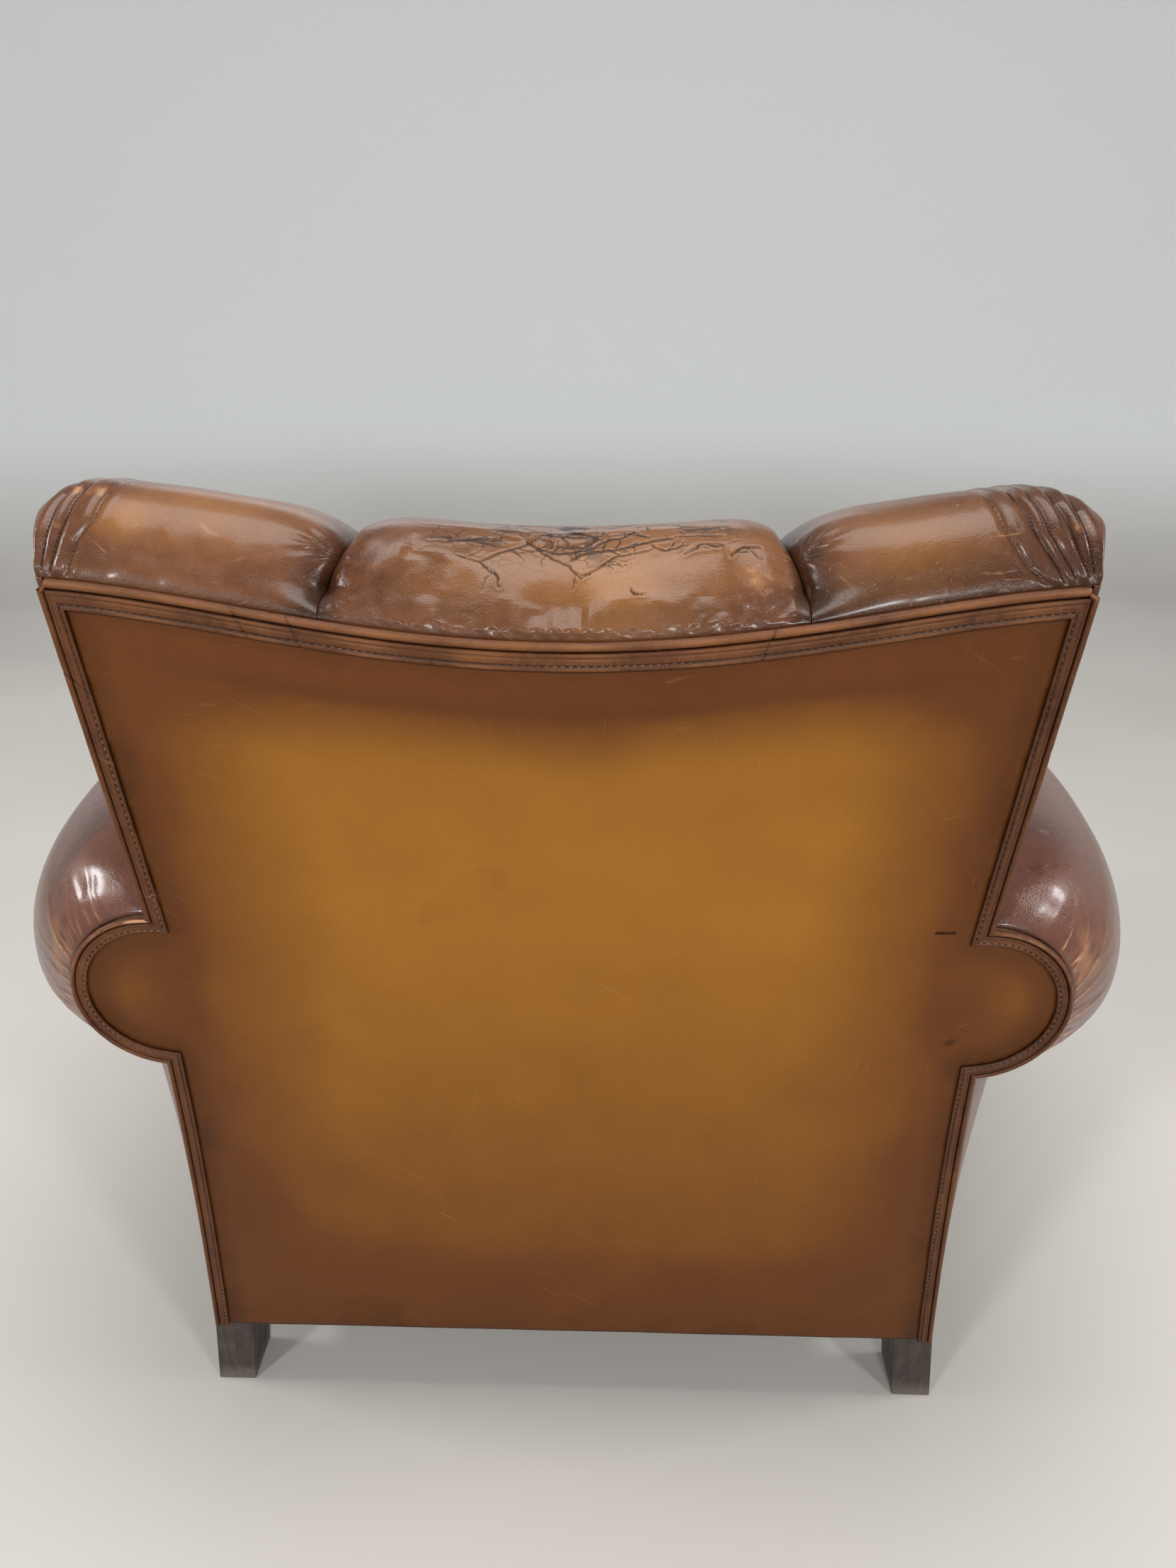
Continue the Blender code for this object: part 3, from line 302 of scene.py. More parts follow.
def unit(vectors):
    return vectors / np.maximum(np.linalg.norm(vectors, axis=-1, keepdims=True), 1e-12)


def ripple(points, length, seed, waves=14):
    """Smooth unevenness from -1 to 1 about as long as given, the same on every run."""
    draw = np.random.default_rng(seed)
    heading = unit(draw.normal(size=(waves, points.shape[-1])))
    pace = draw.uniform(0.6, 1.5, waves) * math.tau / length
    phase = draw.uniform(0, math.tau, waves)
    return np.sin(points @ (heading * pace[:, None]).T + phase).mean(-1) * 2.0


def spots(points, marks):
    """Sum of soft round spots, each (x, y, z, radius, strength)."""
    total = np.zeros(points.shape[:-1])
    for x, y, z, radius, strength in marks:
        total += strength * np.exp(-((points - (x, y, z)) ** 2).sum(-1) / radius ** 2)
    return total


# %% Helpers for finishes
def join(tree, node, inputs):
    """Join each of these inputs of a node to a socket, or set it to a number."""
    for key, value in inputs.items():
        if isinstance(value, bpy.types.NodeSocket):
            tree.links.new(value, node.inputs[key])
        else:
            node.inputs[key].default_value = value


def wire(tree, kind, inputs=None, **settings):
    """A new node with its settings made and its inputs joined."""
    node = tree.nodes.new(kind)
    for key, value in settings.items():
        setattr(node, key, value)
    join(tree, node, inputs or {})
    return node


def sums(tree, operation, first, second=0.0, third=0.0, clamp=False):
    node = wire(tree, "ShaderNodeMath", {0: first, 1: second, 2: third}, operation=operation, use_clamp=clamp)
    return node.outputs[0]


def vectors(tree, operation, first, second):
    """A sum of two vectors, or a vector scaled by a number."""
    by = "Scale" if operation == "SCALE" else 1
    return wire(tree, "ShaderNodeVectorMath", {0: first, by: second}, operation=operation).outputs[0]


def blend(tree, share, first, second):
    return wire(tree, "ShaderNodeMix", {0: share, 6: first, 7: second}, data_type="RGBA").outputs[2]


def dimmed(colour, share=1):
    return (*[channel * share for channel in colour], 1)


def between(tree, value, low, high, start=0.0, end=1.0):
    """A value stretched from one range to another with a soft start and end."""
    node = wire(tree, "ShaderNodeMapRange", {"Value": value, "From Min": low, "From Max": high,
                                             "To Min": start, "To Max": end},
                interpolation_type="SMOOTHSTEP")
    return node.outputs["Result"]


def noise(tree, where, scale, detail=3.0, rough=0.55, twist=0.0):
    node = wire(tree, "ShaderNodeTexNoise", {"Vector": where, "Scale": scale, "Detail": detail,
                                             "Roughness": rough, "Distortion": twist})
    return node.outputs["Fac"]


def cells(tree, where, scale, feature):
    """A distance in a net of cells: to the middle of one, or to the edge between two."""
    inputs = {"Vector": where, "Scale": scale, "Randomness": 1.0}
    return wire(tree, "ShaderNodeTexVoronoi", inputs, feature=feature).outputs["Distance"]


def uneven_by(tree, value, grainy, amount, clamp=False):
    """A value with a noise, centred on nought and times an amount, added to it."""
    return sums(tree, "MULTIPLY_ADD", sums(tree, "SUBTRACT", grainy, 0.5), amount, value, clamp)


def painted(tree, mark):
    """A number that was painted on the piece's points."""
    return wire(tree, "ShaderNodeAttribute", attribute_name=mark).outputs["Fac"]


def where_painted(tree, value, mark):
    """A value that fades to nought where a mark wasn't painted."""
    return sums(tree, "MULTIPLY", value, between(tree, painted(tree, mark), 0.0, 0.2))


def bumped(tree, height, relief):
    """A normal from a height of 0 to 1, where 1 is a relief in metres."""
    bump = wire(tree, "ShaderNodeBump", {"Strength": 1.0, "Distance": relief, "Height": height})
    return bump.outputs["Normal"]


def effect(name, inputs, outputs):
    """An empty group of nodes with named inputs and outputs."""
    tree = bpy.data.node_groups.new(name, "ShaderNodeTree")
    kinds = {"value": "NodeSocketFloat", "colour": "NodeSocketColor", "place": "NodeSocketVector"}
    for label, kind, start in inputs:
        socket = tree.interface.new_socket(label, in_out="INPUT", socket_type=kinds[kind])
        if start is not None:
            socket.default_value = start
    for label, kind in outputs:
        tree.interface.new_socket(label, in_out="OUTPUT", socket_type=kinds[kind])
    return tree, tree.nodes.new("NodeGroupInput").outputs, tree.nodes.new("NodeGroupOutput")


def place_effect(tree, group, **inputs):
    """The outputs of a shared effect, placed with these inputs."""
    return wire(tree, "ShaderNodeGroup", inputs, node_tree=group).outputs


def finish_sheet(name):
    """A new material, its shader, its tree, and Object coordinates."""
    paint = bpy.data.materials.new(name)
    paint.use_nodes = True
    tree = paint.node_tree
    shader = tree.nodes["Principled BSDF"]
    where = tree.nodes.new("ShaderNodeTexCoord").outputs["Object"]
    return paint, tree, shader, where


# %% [markdown]
# ## The room and its lamps
# Old leather shows itself by its shine. Three small lamps stand behind the camera, where the
# rolled edges of the pads throw them back, and one on each side makes the shine on an arm. A
# wide lamp overhead, a weak one in front and one for the wall do the rest. Together with the pale
# room they light the chair at a level at which a colour comes out about as it is written.

# %% Room and lamps
def room():
    """A floor that turns up into a wall all round, open at the top."""
    flat_to, bend, wall_at, wall_top, parts = 3.4, 1.1, 4.5, 2.9, 96
    profile = [(0.0, 0.0), (0.6, 0.0), (1.2, 0.0), (2.4, 0.0), (flat_to, 0.0)]
    profile += [(flat_to + bend * math.sin(a), bend - bend * math.cos(a))
                for a in np.linspace(0.15, math.pi / 2, 10)]
    profile += [(wall_at, 2.0), (wall_at, wall_top)]
    around = np.linspace(0, math.tau, parts + 1)[:-1]
    rows = [[(r * math.cos(a), r * math.sin(a), z) for a in around] for r, z in profile]
    paint, tree, shader, where = finish_sheet("pale room")
    height = wire(tree, "ShaderNodeSeparateXYZ", {0: where}).outputs["Z"]
    rise = between(tree, height, 0.0, 0.5)
    cloud = between(tree, noise(tree, where, 0.8, 2.0), 0.3, 0.7)
    floor = blend(tree, cloud, (0.48, 0.46, 0.43, 1), (0.54, 0.52, 0.485, 1))
    join(tree, shader, {"Base Color": blend(tree, rise, floor, (0.75, 0.775, 0.785, 1)), "Roughness": 0.7})
    bowl = piece("room", rows, weave(len(profile), parts, ring=True), paint)
    tidy(bowl, 1e-4)
    bowl.data.flip_normals()


def lamp(name, place, aim, size, power):
    """A soft lamp of a size in metres and a power in watts, aimed at a place."""
    light = bpy.data.lights.new(name, "AREA")
    light.shape = "RECTANGLE"
    light.size, light.size_y = size
    light.energy = power
    back = unit(np.array(place, float) - np.array(aim, float))
    side = unit(np.cross((0, 0, 1), back) if abs(back[2]) < 0.99 else np.array([1.0, 0, 0]))
    over = np.cross(back, side)
    stood(into_scene(name, light), [side, over, back], place)


room()
MIDDLE = (0.0, 0.2, 0.45)
lamp("window left", (1.6, 2.7, 2.1), MIDDLE, (0.32, 0.45), 37)
lamp("window right", (-1.7, 2.6, 2.1), MIDDLE, (0.32, 0.45), 31)
lamp("window behind", (-0.35, 3.1, 2.0), MIDDLE, (0.28, 0.40), 28)
lamp("lamp on the left", (2.2, 0.3, 1.7), (0.38, 0.37, 0.52), (0.60, 0.30), 19)
lamp("lamp on the right", (-2.1, 0.35, 1.7), (-0.38, 0.37, 0.52), (0.60, 0.30), 17)
lamp("ceiling", (0.0, 0.2, 3.2), (0, 0.2, 0.5), (2.0, 1.4), 52)
lamp("wall washer", (0.0, -1.6, 3.3), (0, -4.5, 0.8), (3.0, 0.6), 16)
lamp("front fill", (0.4, -2.8, 2.2), MIDDLE, (2.0, 1.4), 10)

world = bpy.data.worlds.new("room light")
bpy.context.scene.world = world
world.use_nodes = True
join(world.node_tree, world.node_tree.nodes["Background"], {"Color": (1.0, 0.97, 0.93, 1), "Strength": 0.24})
bpy.context.scene.view_settings.view_transform = "Standard"

# %% [markdown]
# ## Effects that every hide shares
# Leather is not one colour. The tanner's dye lies in clouds, the surface has a fine grain of
# pores, old hide crazes into a net of cracks where it bends, and buttons and nails scratch it.
# Each of these is a group of nodes with its own inputs, so one hide can be smooth and golden
# and the next one dark and cracked.

# %% Effect: clouds of dye
dye, given, made = effect("clouds of dye", [
    ("Place", "place", None), ("Deep", "colour", (0.05, 0.02, 0.01, 1)),
    ("Middle", "colour", (0.1, 0.04, 0.02, 1)), ("Light", "colour", (0.2, 0.08, 0.03, 1)),
    ("Size", "value", 9.0), ("Mottle", "value", 0.35)], [("Colour", "colour"), ("Cloud", "value")])
broad = noise(dye, given["Place"], given["Size"], 4.0, 0.6, 0.4)
fine = noise(dye, given["Place"], sums(dye, "MULTIPLY", given["Size"], 9.0), 5.0, 0.65)
cloud = uneven_by(dye, broad, fine, given["Mottle"])
lower = blend(dye, between(dye, cloud, 0.28, 0.5), given["Deep"], given["Middle"])
whole = blend(dye, between(dye, cloud, 0.5, 0.74), lower, given["Light"])
join(dye, made, {"Colour": whole, "Cloud": cloud})

# %% Effect: grain of the hide
grain, given, made = effect("grain of the hide", [("Place", "place", None), ("Pores", "value", 900.0)],
                            [("Height", "value"), ("Pore", "value")])
pore = cells(grain, given["Place"], given["Pores"], "F1")
coarse = noise(grain, given["Place"], sums(grain, "MULTIPLY", given["Pores"], 0.22), 4.0, 0.6)
height = sums(grain, "MULTIPLY_ADD", coarse, 1.4, sums(grain, "MULTIPLY", pore, -0.7))
join(grain, made, {"Height": height, "Pore": between(grain, pore, 0.1, 0.6)})

# %% Effect: net of cracks
craze, given, made = effect("net of cracks", [
    ("Place", "place", None), ("Size", "value", 40.0), ("Width", "value", 0.03), ("Wander", "value", 0.02)],
    [("Crack", "value"), ("Lip", "value")])
drift = wire(craze, "ShaderNodeTexNoise", {"Vector": given["Place"], "Scale": 45.0, "Detail": 3.0})
drift = vectors(craze, "SUBTRACT", drift.outputs["Color"], (0.5, 0.5, 0.5))
drift = vectors(craze, "SCALE", drift, given["Wander"])
gap = cells(craze, vectors(craze, "ADD", given["Place"], drift), given["Size"], "DISTANCE_TO_EDGE")
wide = sums(craze, "MULTIPLY", given["Width"],
            between(craze, noise(craze, given["Place"], 55.0, 2.0), 0.42, 0.7, 0.0, 1.6))
edge = sums(craze, "DIVIDE", gap, sums(craze, "MAXIMUM", wide, 0.0001))
join(craze, made, {"Crack": between(craze, edge, 1.0, 0.35), "Lip": between(craze, edge, 3.0, 1.0)})

# %% Effect: scratches and scuffs
scratch, given, made = effect("scratches", [
    ("Place", "place", None), ("Turn", "value", 0.6), ("Amount", "value", 0.5)], [("Scratch", "value")])
marks = []
for number, (turn, scale) in enumerate(((0.0, 1.0), (1.1, 1.5), (2.3, 0.8))):
    angle = sums(scratch, "ADD", given["Turn"], turn)
    spin = wire(scratch, "ShaderNodeVectorRotate", {"Vector": given["Place"], "Angle": angle,
                                                    "Axis": (0.25, 0.95, 0.1)}).outputs[0]
    long = vectors(scratch, "MULTIPLY", spin, (14 * scale, 90 * scale, 260 * scale))
    line = noise(scratch, long, 1.0 + number * 0.13, 2.0, 0.5, 0.3)
    patch = between(scratch, noise(scratch, given["Place"], 11.0 + 5 * number, 2.0), 0.48, 0.66)
    marks.append(sums(scratch, "MULTIPLY", between(scratch, line, 0.66, 0.76), patch))
total = sums(scratch, "MAXIMUM", sums(scratch, "MAXIMUM", marks[0], marks[1]), marks[2])
join(scratch, made, {"Scratch": sums(scratch, "MULTIPLY", total, given["Amount"], clamp=True)})

# %% [markdown]
# ## Hides
# One recipe makes every hide. The painted marks say where a piece is rubbed to tan, darkened
# by hands and dirt or by painted shade in seams, grooves, creases and under rolls, cracked, or
# rubbed so pale that the fibre shows. On the piping the tan and the pale also paint a highlight,
# and on the pleats of the outer pads the pale paints a highlight on each ridge and the split mark
# paints the shadow in each crease. They are worked out with each piece from its own shape, and
# the finish breaks them up with its clouds and grain.

# %% The recipe for a hide
def hide(name, deep, middle, light, tan, shine=(0.34, 0.52), size=9.0, mottle=0.35, cracks=38.0,
         scratches=0.35, coat=0.0, gloss=0.16, pores=900.0, relief=0.00022, specular=0.5, patchy=0.9):
    """A hide: shine is its roughness from and to, coat its wax and gloss the roughness of the wax."""
    paint, tree, shader, where = finish_sheet(name)
    tone, cloud = place_effect(tree, dye, Place=where, Deep=dimmed(deep), Middle=dimmed(middle),
                               Light=dimmed(light), Size=size, Mottle=mottle)
    broken = noise(tree, where, 30.0, 5.0, 0.68)
    speck = noise(tree, where, 160.0, 4.0, 0.7)

    worn = sums(tree, "ADD", uneven_by(tree, painted(tree, "tan"), broken, patchy), 0.0, clamp=True)
    worn = where_painted(tree, worn, "tan")
    colour = blend(tree, worn, tone, dimmed(tan))
    # The dark mark is dirt and also painted shade in seams, grooves, creases and under rolls.
    dark = between(tree, uneven_by(tree, painted(tree, "dark"), broken, 0.5), 0.0, 1.0)
    dark = where_painted(tree, dark, "dark")
    colour = blend(tree, sums(tree, "MULTIPLY", dark, 0.85), colour, dimmed(deep, 0.28))
    height, pore = place_effect(tree, grain, Place=where, Pores=pores)
    colour = blend(tree, sums(tree, "MULTIPLY", pore, 0.10), colour, dimmed(deep, 0.4))

    more = sums(tree, "MULTIPLY_ADD", painted(tree, "pale"), 2.0, scratches)
    lines = place_effect(tree, scratch, Place=where, Amount=more)["Scratch"]
    pale_fibre = (*[min(1.0, channel * 1.5 + 0.07) for channel in tan], 1)
    colour = blend(tree, sums(tree, "MULTIPLY", lines, 0.5), colour, pale_fibre)
    # The pale mark is rubbed fibre; on the piping and on pleat ridges it also paints a highlight.
    rubbed = between(tree, uneven_by(tree, painted(tree, "pale"), speck, 0.9), 0.3, 1.1)
    colour = blend(tree, where_painted(tree, rubbed, "pale"), colour, pale_fibre)

    long_cells = vectors(tree, "MULTIPLY", where, (0.55, 1.0, 1.0))
    big, big_lip = place_effect(tree, craze, Place=long_cells, Size=cracks, Width=0.055, Wander=0.02)
    small, _ = place_effect(tree, craze, Place=long_cells, Size=cracks * 3.4, Width=0.05, Wander=0.012)
    split = sums(tree, "MULTIPLY", big, between(tree, painted(tree, "crack"), 0.25, 0.7))
    split = sums(tree, "MAXIMUM", split, sums(tree, "MULTIPLY", sums(tree, "MULTIPLY", small, 0.65),
                                              between(tree, painted(tree, "crack"), 0.1, 0.6)))
    # The split mark is tears and cracks; on the outer pads it also paints the shadows in the pleats' creases.
    ragged = uneven_by(tree, painted(tree, "split"), speck, 0.35)
    split = sums(tree, "MAXIMUM", split, between(tree, ragged, 0.36, 0.60), clamp=True)
    colour = blend(tree, sums(tree, "MULTIPLY", split, 0.92), colour, dimmed(deep, 0.12))

    rough = between(tree, cloud, 0.25, 0.75, *shine)
    rough = sums(tree, "MULTIPLY_ADD", worn, 0.07, rough)
    rough = sums(tree, "MULTIPLY_ADD", sums(tree, "MAXIMUM", split, lines), 0.3, rough)
    rough = uneven_by(tree, rough, speck, 0.12, clamp=True)
    lips = sums(tree, "MULTIPLY", big_lip, painted(tree, "crack"))
    lumps = noise(tree, where, 75.0, 3.0)
    for layer, share in ((split, -2.6), (lines, -0.5), (lips, 1.2), (lumps, 1.6)):
        height = sums(tree, "MULTIPLY_ADD", layer, share, height)
    join(tree, shader, {"Base Color": colour, "Roughness": rough, "Normal": bumped(tree, height, relief),
                        "Specular IOR Level": specular, "Coat Weight": coat, "Coat Roughness": gloss})
    return paint


TAN_HIDE = hide("tan hide", deep=(0.098, 0.029, 0.005), middle=(0.112, 0.034, 0.006),
                light=(0.128, 0.041, 0.007), tan=(0.305, 0.124, 0.013), shine=(0.48, 0.60), size=5.0,
                mottle=0.20, scratches=0.16, relief=0.00010, specular=0.18, patchy=0.24)
BROWN_HIDE = hide("brown hide", deep=(0.058, 0.020, 0.010), middle=(0.112, 0.041, 0.017),
                  light=(0.155, 0.059, 0.022), tan=(0.270, 0.112, 0.026), shine=(0.24, 0.38), size=11.0,
                  scratches=0.5, coat=0.25, gloss=0.17, specular=0.20, patchy=0.60)
ARM_HIDE = hide("arm hide", deep=(0.072, 0.021, 0.011), middle=(0.120, 0.038, 0.020),
                light=(0.160, 0.056, 0.029), tan=(0.270, 0.120, 0.050), shine=(0.26, 0.38), size=14.0,
                scratches=0.4, coat=0.46, gloss=0.19, specular=0.30)
BAND_HIDE = hide("band hide", deep=(0.062, 0.019, 0.006), middle=(0.102, 0.034, 0.011),
                 light=(0.145, 0.051, 0.015), tan=(0.250, 0.100, 0.034), shine=(0.38, 0.54), size=22.0,
                 mottle=0.6, scratches=0.5, specular=0.22)
INSIDE_HIDE = hide("hide out of sight", deep=(0.090, 0.036, 0.018), middle=(0.145, 0.058, 0.026),
                   light=(0.195, 0.082, 0.034), tan=(0.300, 0.130, 0.045), shine=(0.32, 0.5),
                   size=9.0, specular=0.35)
print("hides:", [paint.name for paint in (TAN_HIDE, BROWN_HIDE, ARM_HIDE, BAND_HIDE, INSIDE_HIDE)])

# %% [markdown]
# ## Timber, jute, hair and steel
# The frame keeps the shapes it came with. Beech is sawn and unfinished where the hide covers
# it and stained dark on the feet, with scuffs down to the bare wood. Webbing and hessian are
# plain woven jute, the stuffing is matted hair, and the springs are dull oiled wire.

# %% Wood
def timber(name, early, late, stained):
    """Sawn wood whose figure runs upwards; stained wood is scuffed and dusty at its foot."""
    paint, tree, shader, where = finish_sheet(name)
    figure = noise(tree, vectors(tree, "MULTIPLY", where, (150, 150, 9)), 1.0, 5.0, 0.6, 0.6)
    flecks = noise(tree, vectors(tree, "MULTIPLY", where, (900, 900, 60)), 1.0, 2.0)
    fleck = between(tree, flecks, 0.55, 0.7)
    colour = blend(tree, between(tree, figure, 0.3, 0.7), dimmed(early), dimmed(late))
    colour = blend(tree, sums(tree, "MULTIPLY", fleck, 0.35), colour, dimmed(late, 0.5))
    rough = between(tree, figure, 0.2, 0.8, *((0.45, 0.7) if stained else (0.6, 0.85)))
    if stained:
        height = wire(tree, "ShaderNodeSeparateXYZ", {0: where}).outputs["Z"]
        scuff = sums(tree, "MULTIPLY", between(tree, noise(tree, where, 70.0, 5.0, 0.7), 0.52, 0.72),
                     between(tree, height, 0.075, 0.0, 0.25, 1.0))
        colour = blend(tree, sums(tree, "MULTIPLY", scuff, 0.55), colour, (0.16, 0.11, 0.08, 1))
        dust = between(tree, height, 0.022, 0.0, 0.0, 0.4)
        colour = blend(tree, dust, colour, (0.24, 0.20, 0.17, 1))
    height = sums(tree, "SUBTRACT", figure, sums(tree, "MULTIPLY", fleck, 0.6))
    join(tree, shader, {"Base Color": colour, "Roughness": rough, "Normal": bumped(tree, height, 0.0003)})
    return paint


BEECH = timber("sawn beech", (0.52, 0.36, 0.21), (0.38, 0.24, 0.13), stained=False)
STAINED = timber("stained beech", (0.050, 0.034, 0.026), (0.026, 0.018, 0.015), stained=True)


# %% Jute, hair, steel and bottom cloth
def woven(name, warp, weft, threads, relief=0.0004):
    """Threads over and under, from two crossed waves in the level plane and upwards."""
    paint, tree, shader, where = finish_sheet(name)
    axes = wire(tree, "ShaderNodeSeparateXYZ", {0: where}).outputs
    waves = [sums(tree, "SINE", sums(tree, "MULTIPLY", along, math.tau * threads / 2))
             for along in (axes["X"], sums(tree, "ADD", axes["Y"], axes["Z"]))]
    over = sums(tree, "MULTIPLY", *waves)
    slub = noise(tree, where, threads * 0.6, 3.0, 0.6)
    colour = blend(tree, between(tree, over, -0.3, 0.3), dimmed(warp), dimmed(weft))
    colour = blend(tree, between(tree, slub, 0.35, 0.8, 0.0, 0.6), colour, dimmed(warp, 0.5))
    height = sums(tree, "MULTIPLY_ADD", slub, 0.8, sums(tree, "ABSOLUTE", over))
    join(tree, shader, {"Base Color": colour, "Roughness": 0.9, "Normal": bumped(tree, height, relief)})
    return paint


JUTE = woven("woven jute", (0.36, 0.25, 0.13), (0.46, 0.34, 0.19), 420)
BOTTOM_CLOTH = woven("bottom cloth", (0.012, 0.012, 0.012), (0.020, 0.019, 0.018), 1100, relief=0.0001)

HAIR, tree, shader, where = finish_sheet("curled hair")
strand = noise(tree, where, 260.0, 6.0, 0.75, 3.0)
colour = blend(tree, between(tree, strand, 0.35, 0.65), (0.05, 0.035, 0.025, 1), (0.20, 0.15, 0.11, 1))
join(tree, shader, {"Base Color": colour, "Roughness": 0.95, "Normal": bumped(tree, strand, 0.002)})

SPRING_WIRE, tree, shader, where = finish_sheet("oiled spring wire")
rust = between(tree, noise(tree, where, 120.0, 5.0, 0.7), 0.5, 0.72)
join(tree, shader, {"Base Color": blend(tree, rust, (0.27, 0.26, 0.25, 1), (0.13, 0.055, 0.025, 1)),
                    "Roughness": between(tree, rust, 0.0, 1.0, 0.35, 0.85),
                    "Metallic": between(tree, rust, 0.0, 1.0, 1.0, 0.15)})

slots = {"beech": BEECH, "stained_beech": STAINED, "jute": JUTE, "horsehair": HAIR,
         "spring_steel": SPRING_WIRE, "brown_hide": INSIDE_HIDE, "black_cloth": BOTTOM_CLOTH}
dressed = 0
for part in frame["record"]["subparts"]:
    node, slot = part["node"], part["material_slot"]
    if slot in slots:
        for place in frame["nodes"][node].material_slots:
            place.material = slots[slot]
            dressed += 1
print(dressed, "nodes of the frame have their finish")

# %% [markdown]
# ## The outside back
# One flat hide is stretched over the back of the frame and nailed round its edge. It is cut
# here as a net of small squares whose edge squares are pulled to the cut line, which keeps the
# squares even in the middle, where the light runs over them. The hide sinks a little between
# the rails, so the lower edge of the top rail shows as a soft crease.

# %% Cutting a hide to an outline
def from_outline(points, outline):
    """Distance of flat points from an open outline, and the nearest place on it."""
    best = np.full(len(points), 1e9)
    nearest = np.zeros_like(points)
    for first, second in zip(outline, outline[1:]):
        along = second - first
        share = np.clip(((points - first) @ along) / (along @ along), 0, 1)
        place = first + share[:, None] * along
        gap = np.hypot(*(points - place).T)
        closer = gap < best
        best[closer] = gap[closer]
        nearest[closer] = place[closer]
    return best, nearest


def inside(points, outline):
    """Whether flat points lie inside a closed outline."""
    count = np.zeros(len(points), int)
    for (x0, y0), (x1, y1) in zip(outline, np.roll(outline, -1, 0)):
        if y0 == y1:
            continue
        crossing = ((points[:, 1] >= y0) != (points[:, 1] >= y1))
        at = x0 + (points[:, 1] - y0) / (y1 - y0) * (x1 - x0)
        count += crossing & (points[:, 0] < at)
    return count % 2 == 1


def cut_hide(outline, inset, step, foot):
    """Even squares inside an outline that is open at its foot; their edge is drawn to the inset."""
    low, high = outline.min(0), outline.max(0)
    half_steps = math.ceil((high[0] - low[0]) / 2 / step)
    xs = (low[0] + high[0]) / 2 + np.arange(-half_steps, half_steps + 1) * step
    ups = foot + np.arange(math.ceil((high[1] - foot) / step) + 1) * step
    grid = np.stack(np.meshgrid(xs, ups), -1).reshape(-1, 2)
    gap, nearest = from_outline(grid, outline)
    held = inside(grid, outline) & (gap > inset)
    held |= (grid[:, 1] <= foot + 1e-9) & inside(grid + (0, step / 2), outline) & (gap > inset)
    squares = weave(len(ups), len(xs))
    squares = squares[held[squares].all(1)]
    used, squares = np.unique(squares, return_inverse=True)
    squares = squares.reshape(-1, 4)
    points, gap, nearest = grid[used], gap[used], nearest[used]
    ends_of_sides = ([0, 1], [1, 2], [2, 3], [3, 0])
    sides = np.sort(np.concatenate([squares[:, ends] for ends in ends_of_sides]), 1)
    sides, times = np.unique(sides, axis=0, return_counts=True)
    rim = np.unique(sides[times == 1])
    rim = rim[(points[rim, 1] > foot + 1e-9) | (gap[rim] < inset + 1.5 * step)]
    drawn = nearest[rim] + unit(points[rim] - nearest[rim]) * inset
    drawn[:, 1] = np.where(points[rim, 1] <= foot + 1e-9, foot, drawn[:, 1])
    points[rim] = drawn
    return points, squares, from_outline(points, outline)[0]


# %% The outside back
outline = np.concatenate([run[:-1] for run in sides_of_back()] + [[(-BASE_HALF, SKIRT)]])
flat, squares, from_edge = cut_hide(outline, 0.0070, 0.004, SKIRT)
x, up = flat.T
free = smooth(0.0185, 0.034, from_edge)
from_top = top_edge(x) - up
from_side = side_edge(up) - np.abs(x)
opening = smooth(0.041, 0.053, from_top + 0.002 * ripple(flat, 0.2, 4))
opening = opening * smooth(0.044, 0.085, from_side)
opening *= smooth(0.352, 0.45, up) + 0.35 * smooth(0.19, 0.22, up) * smooth(0.298, 0.26, up)
sink = 0.0022 * opening + 0.0004 * ripple(flat, 0.16, 7) * opening
for side, strength in ((1, 1.0), (-1, 0.8)):
    slant = (side * x - 0.26) * 0.64 + (up - 0.13) * 0.77
    pull = hump(side * x, 0.255, 0.05) * hump(up, 0.135, 0.055)
    sink -= 0.0010 * strength * (0.5 + 0.5 * np.sin(slant / 0.021 * math.tau / 2 + side)) * pull * free
sink -= 0.0005 * (0.5 + 0.5 * ripple(flat, 0.13, 8)) * free
proud = 0.0006 * hump(up, SKIRT + 0.012, 0.006) * smooth(0.03, 0.05, from_side)
proud = proud - 0.0003 * hump(up, SKIRT, 0.0022)
points = on_back(x, up, PANEL_NEAR + sink - proud)

# How golden the middle of the hide is at these heights.
GOLD_UP = (0.08, 0.14, 0.20, 0.28, 0.385, 0.51, 0.60, 0.70)
GOLD = (0.0, 0.02, 0.22, 0.46, 0.68, 1.0, 0.92, 0.70)
uneven = 0.016 * ripple(flat, 0.30, 11) + 0.008 * ripple(flat, 0.10, 12)
golden = np.clip((from_side - 0.018 + uneven) / 0.115, 0, 1) * np.interp(up + uneven, GOLD_UP, GOLD)
# Painted shade: the strip between the top line and the crease under the rail is kept dark, without gold.
golden *= 0.05 + 0.95 * smooth(0.042, 0.105, from_top + 0.6 * uneven)
ear_gold = hump(np.abs(x), 0.318, 0.034) * hump(up, 0.442, 0.045) * smooth(0.018, 0.040, from_edge)
golden = np.maximum(golden, 0.20 * ear_gold) * (0.95 + 0.07 * ripple(flat, 0.09, 14))

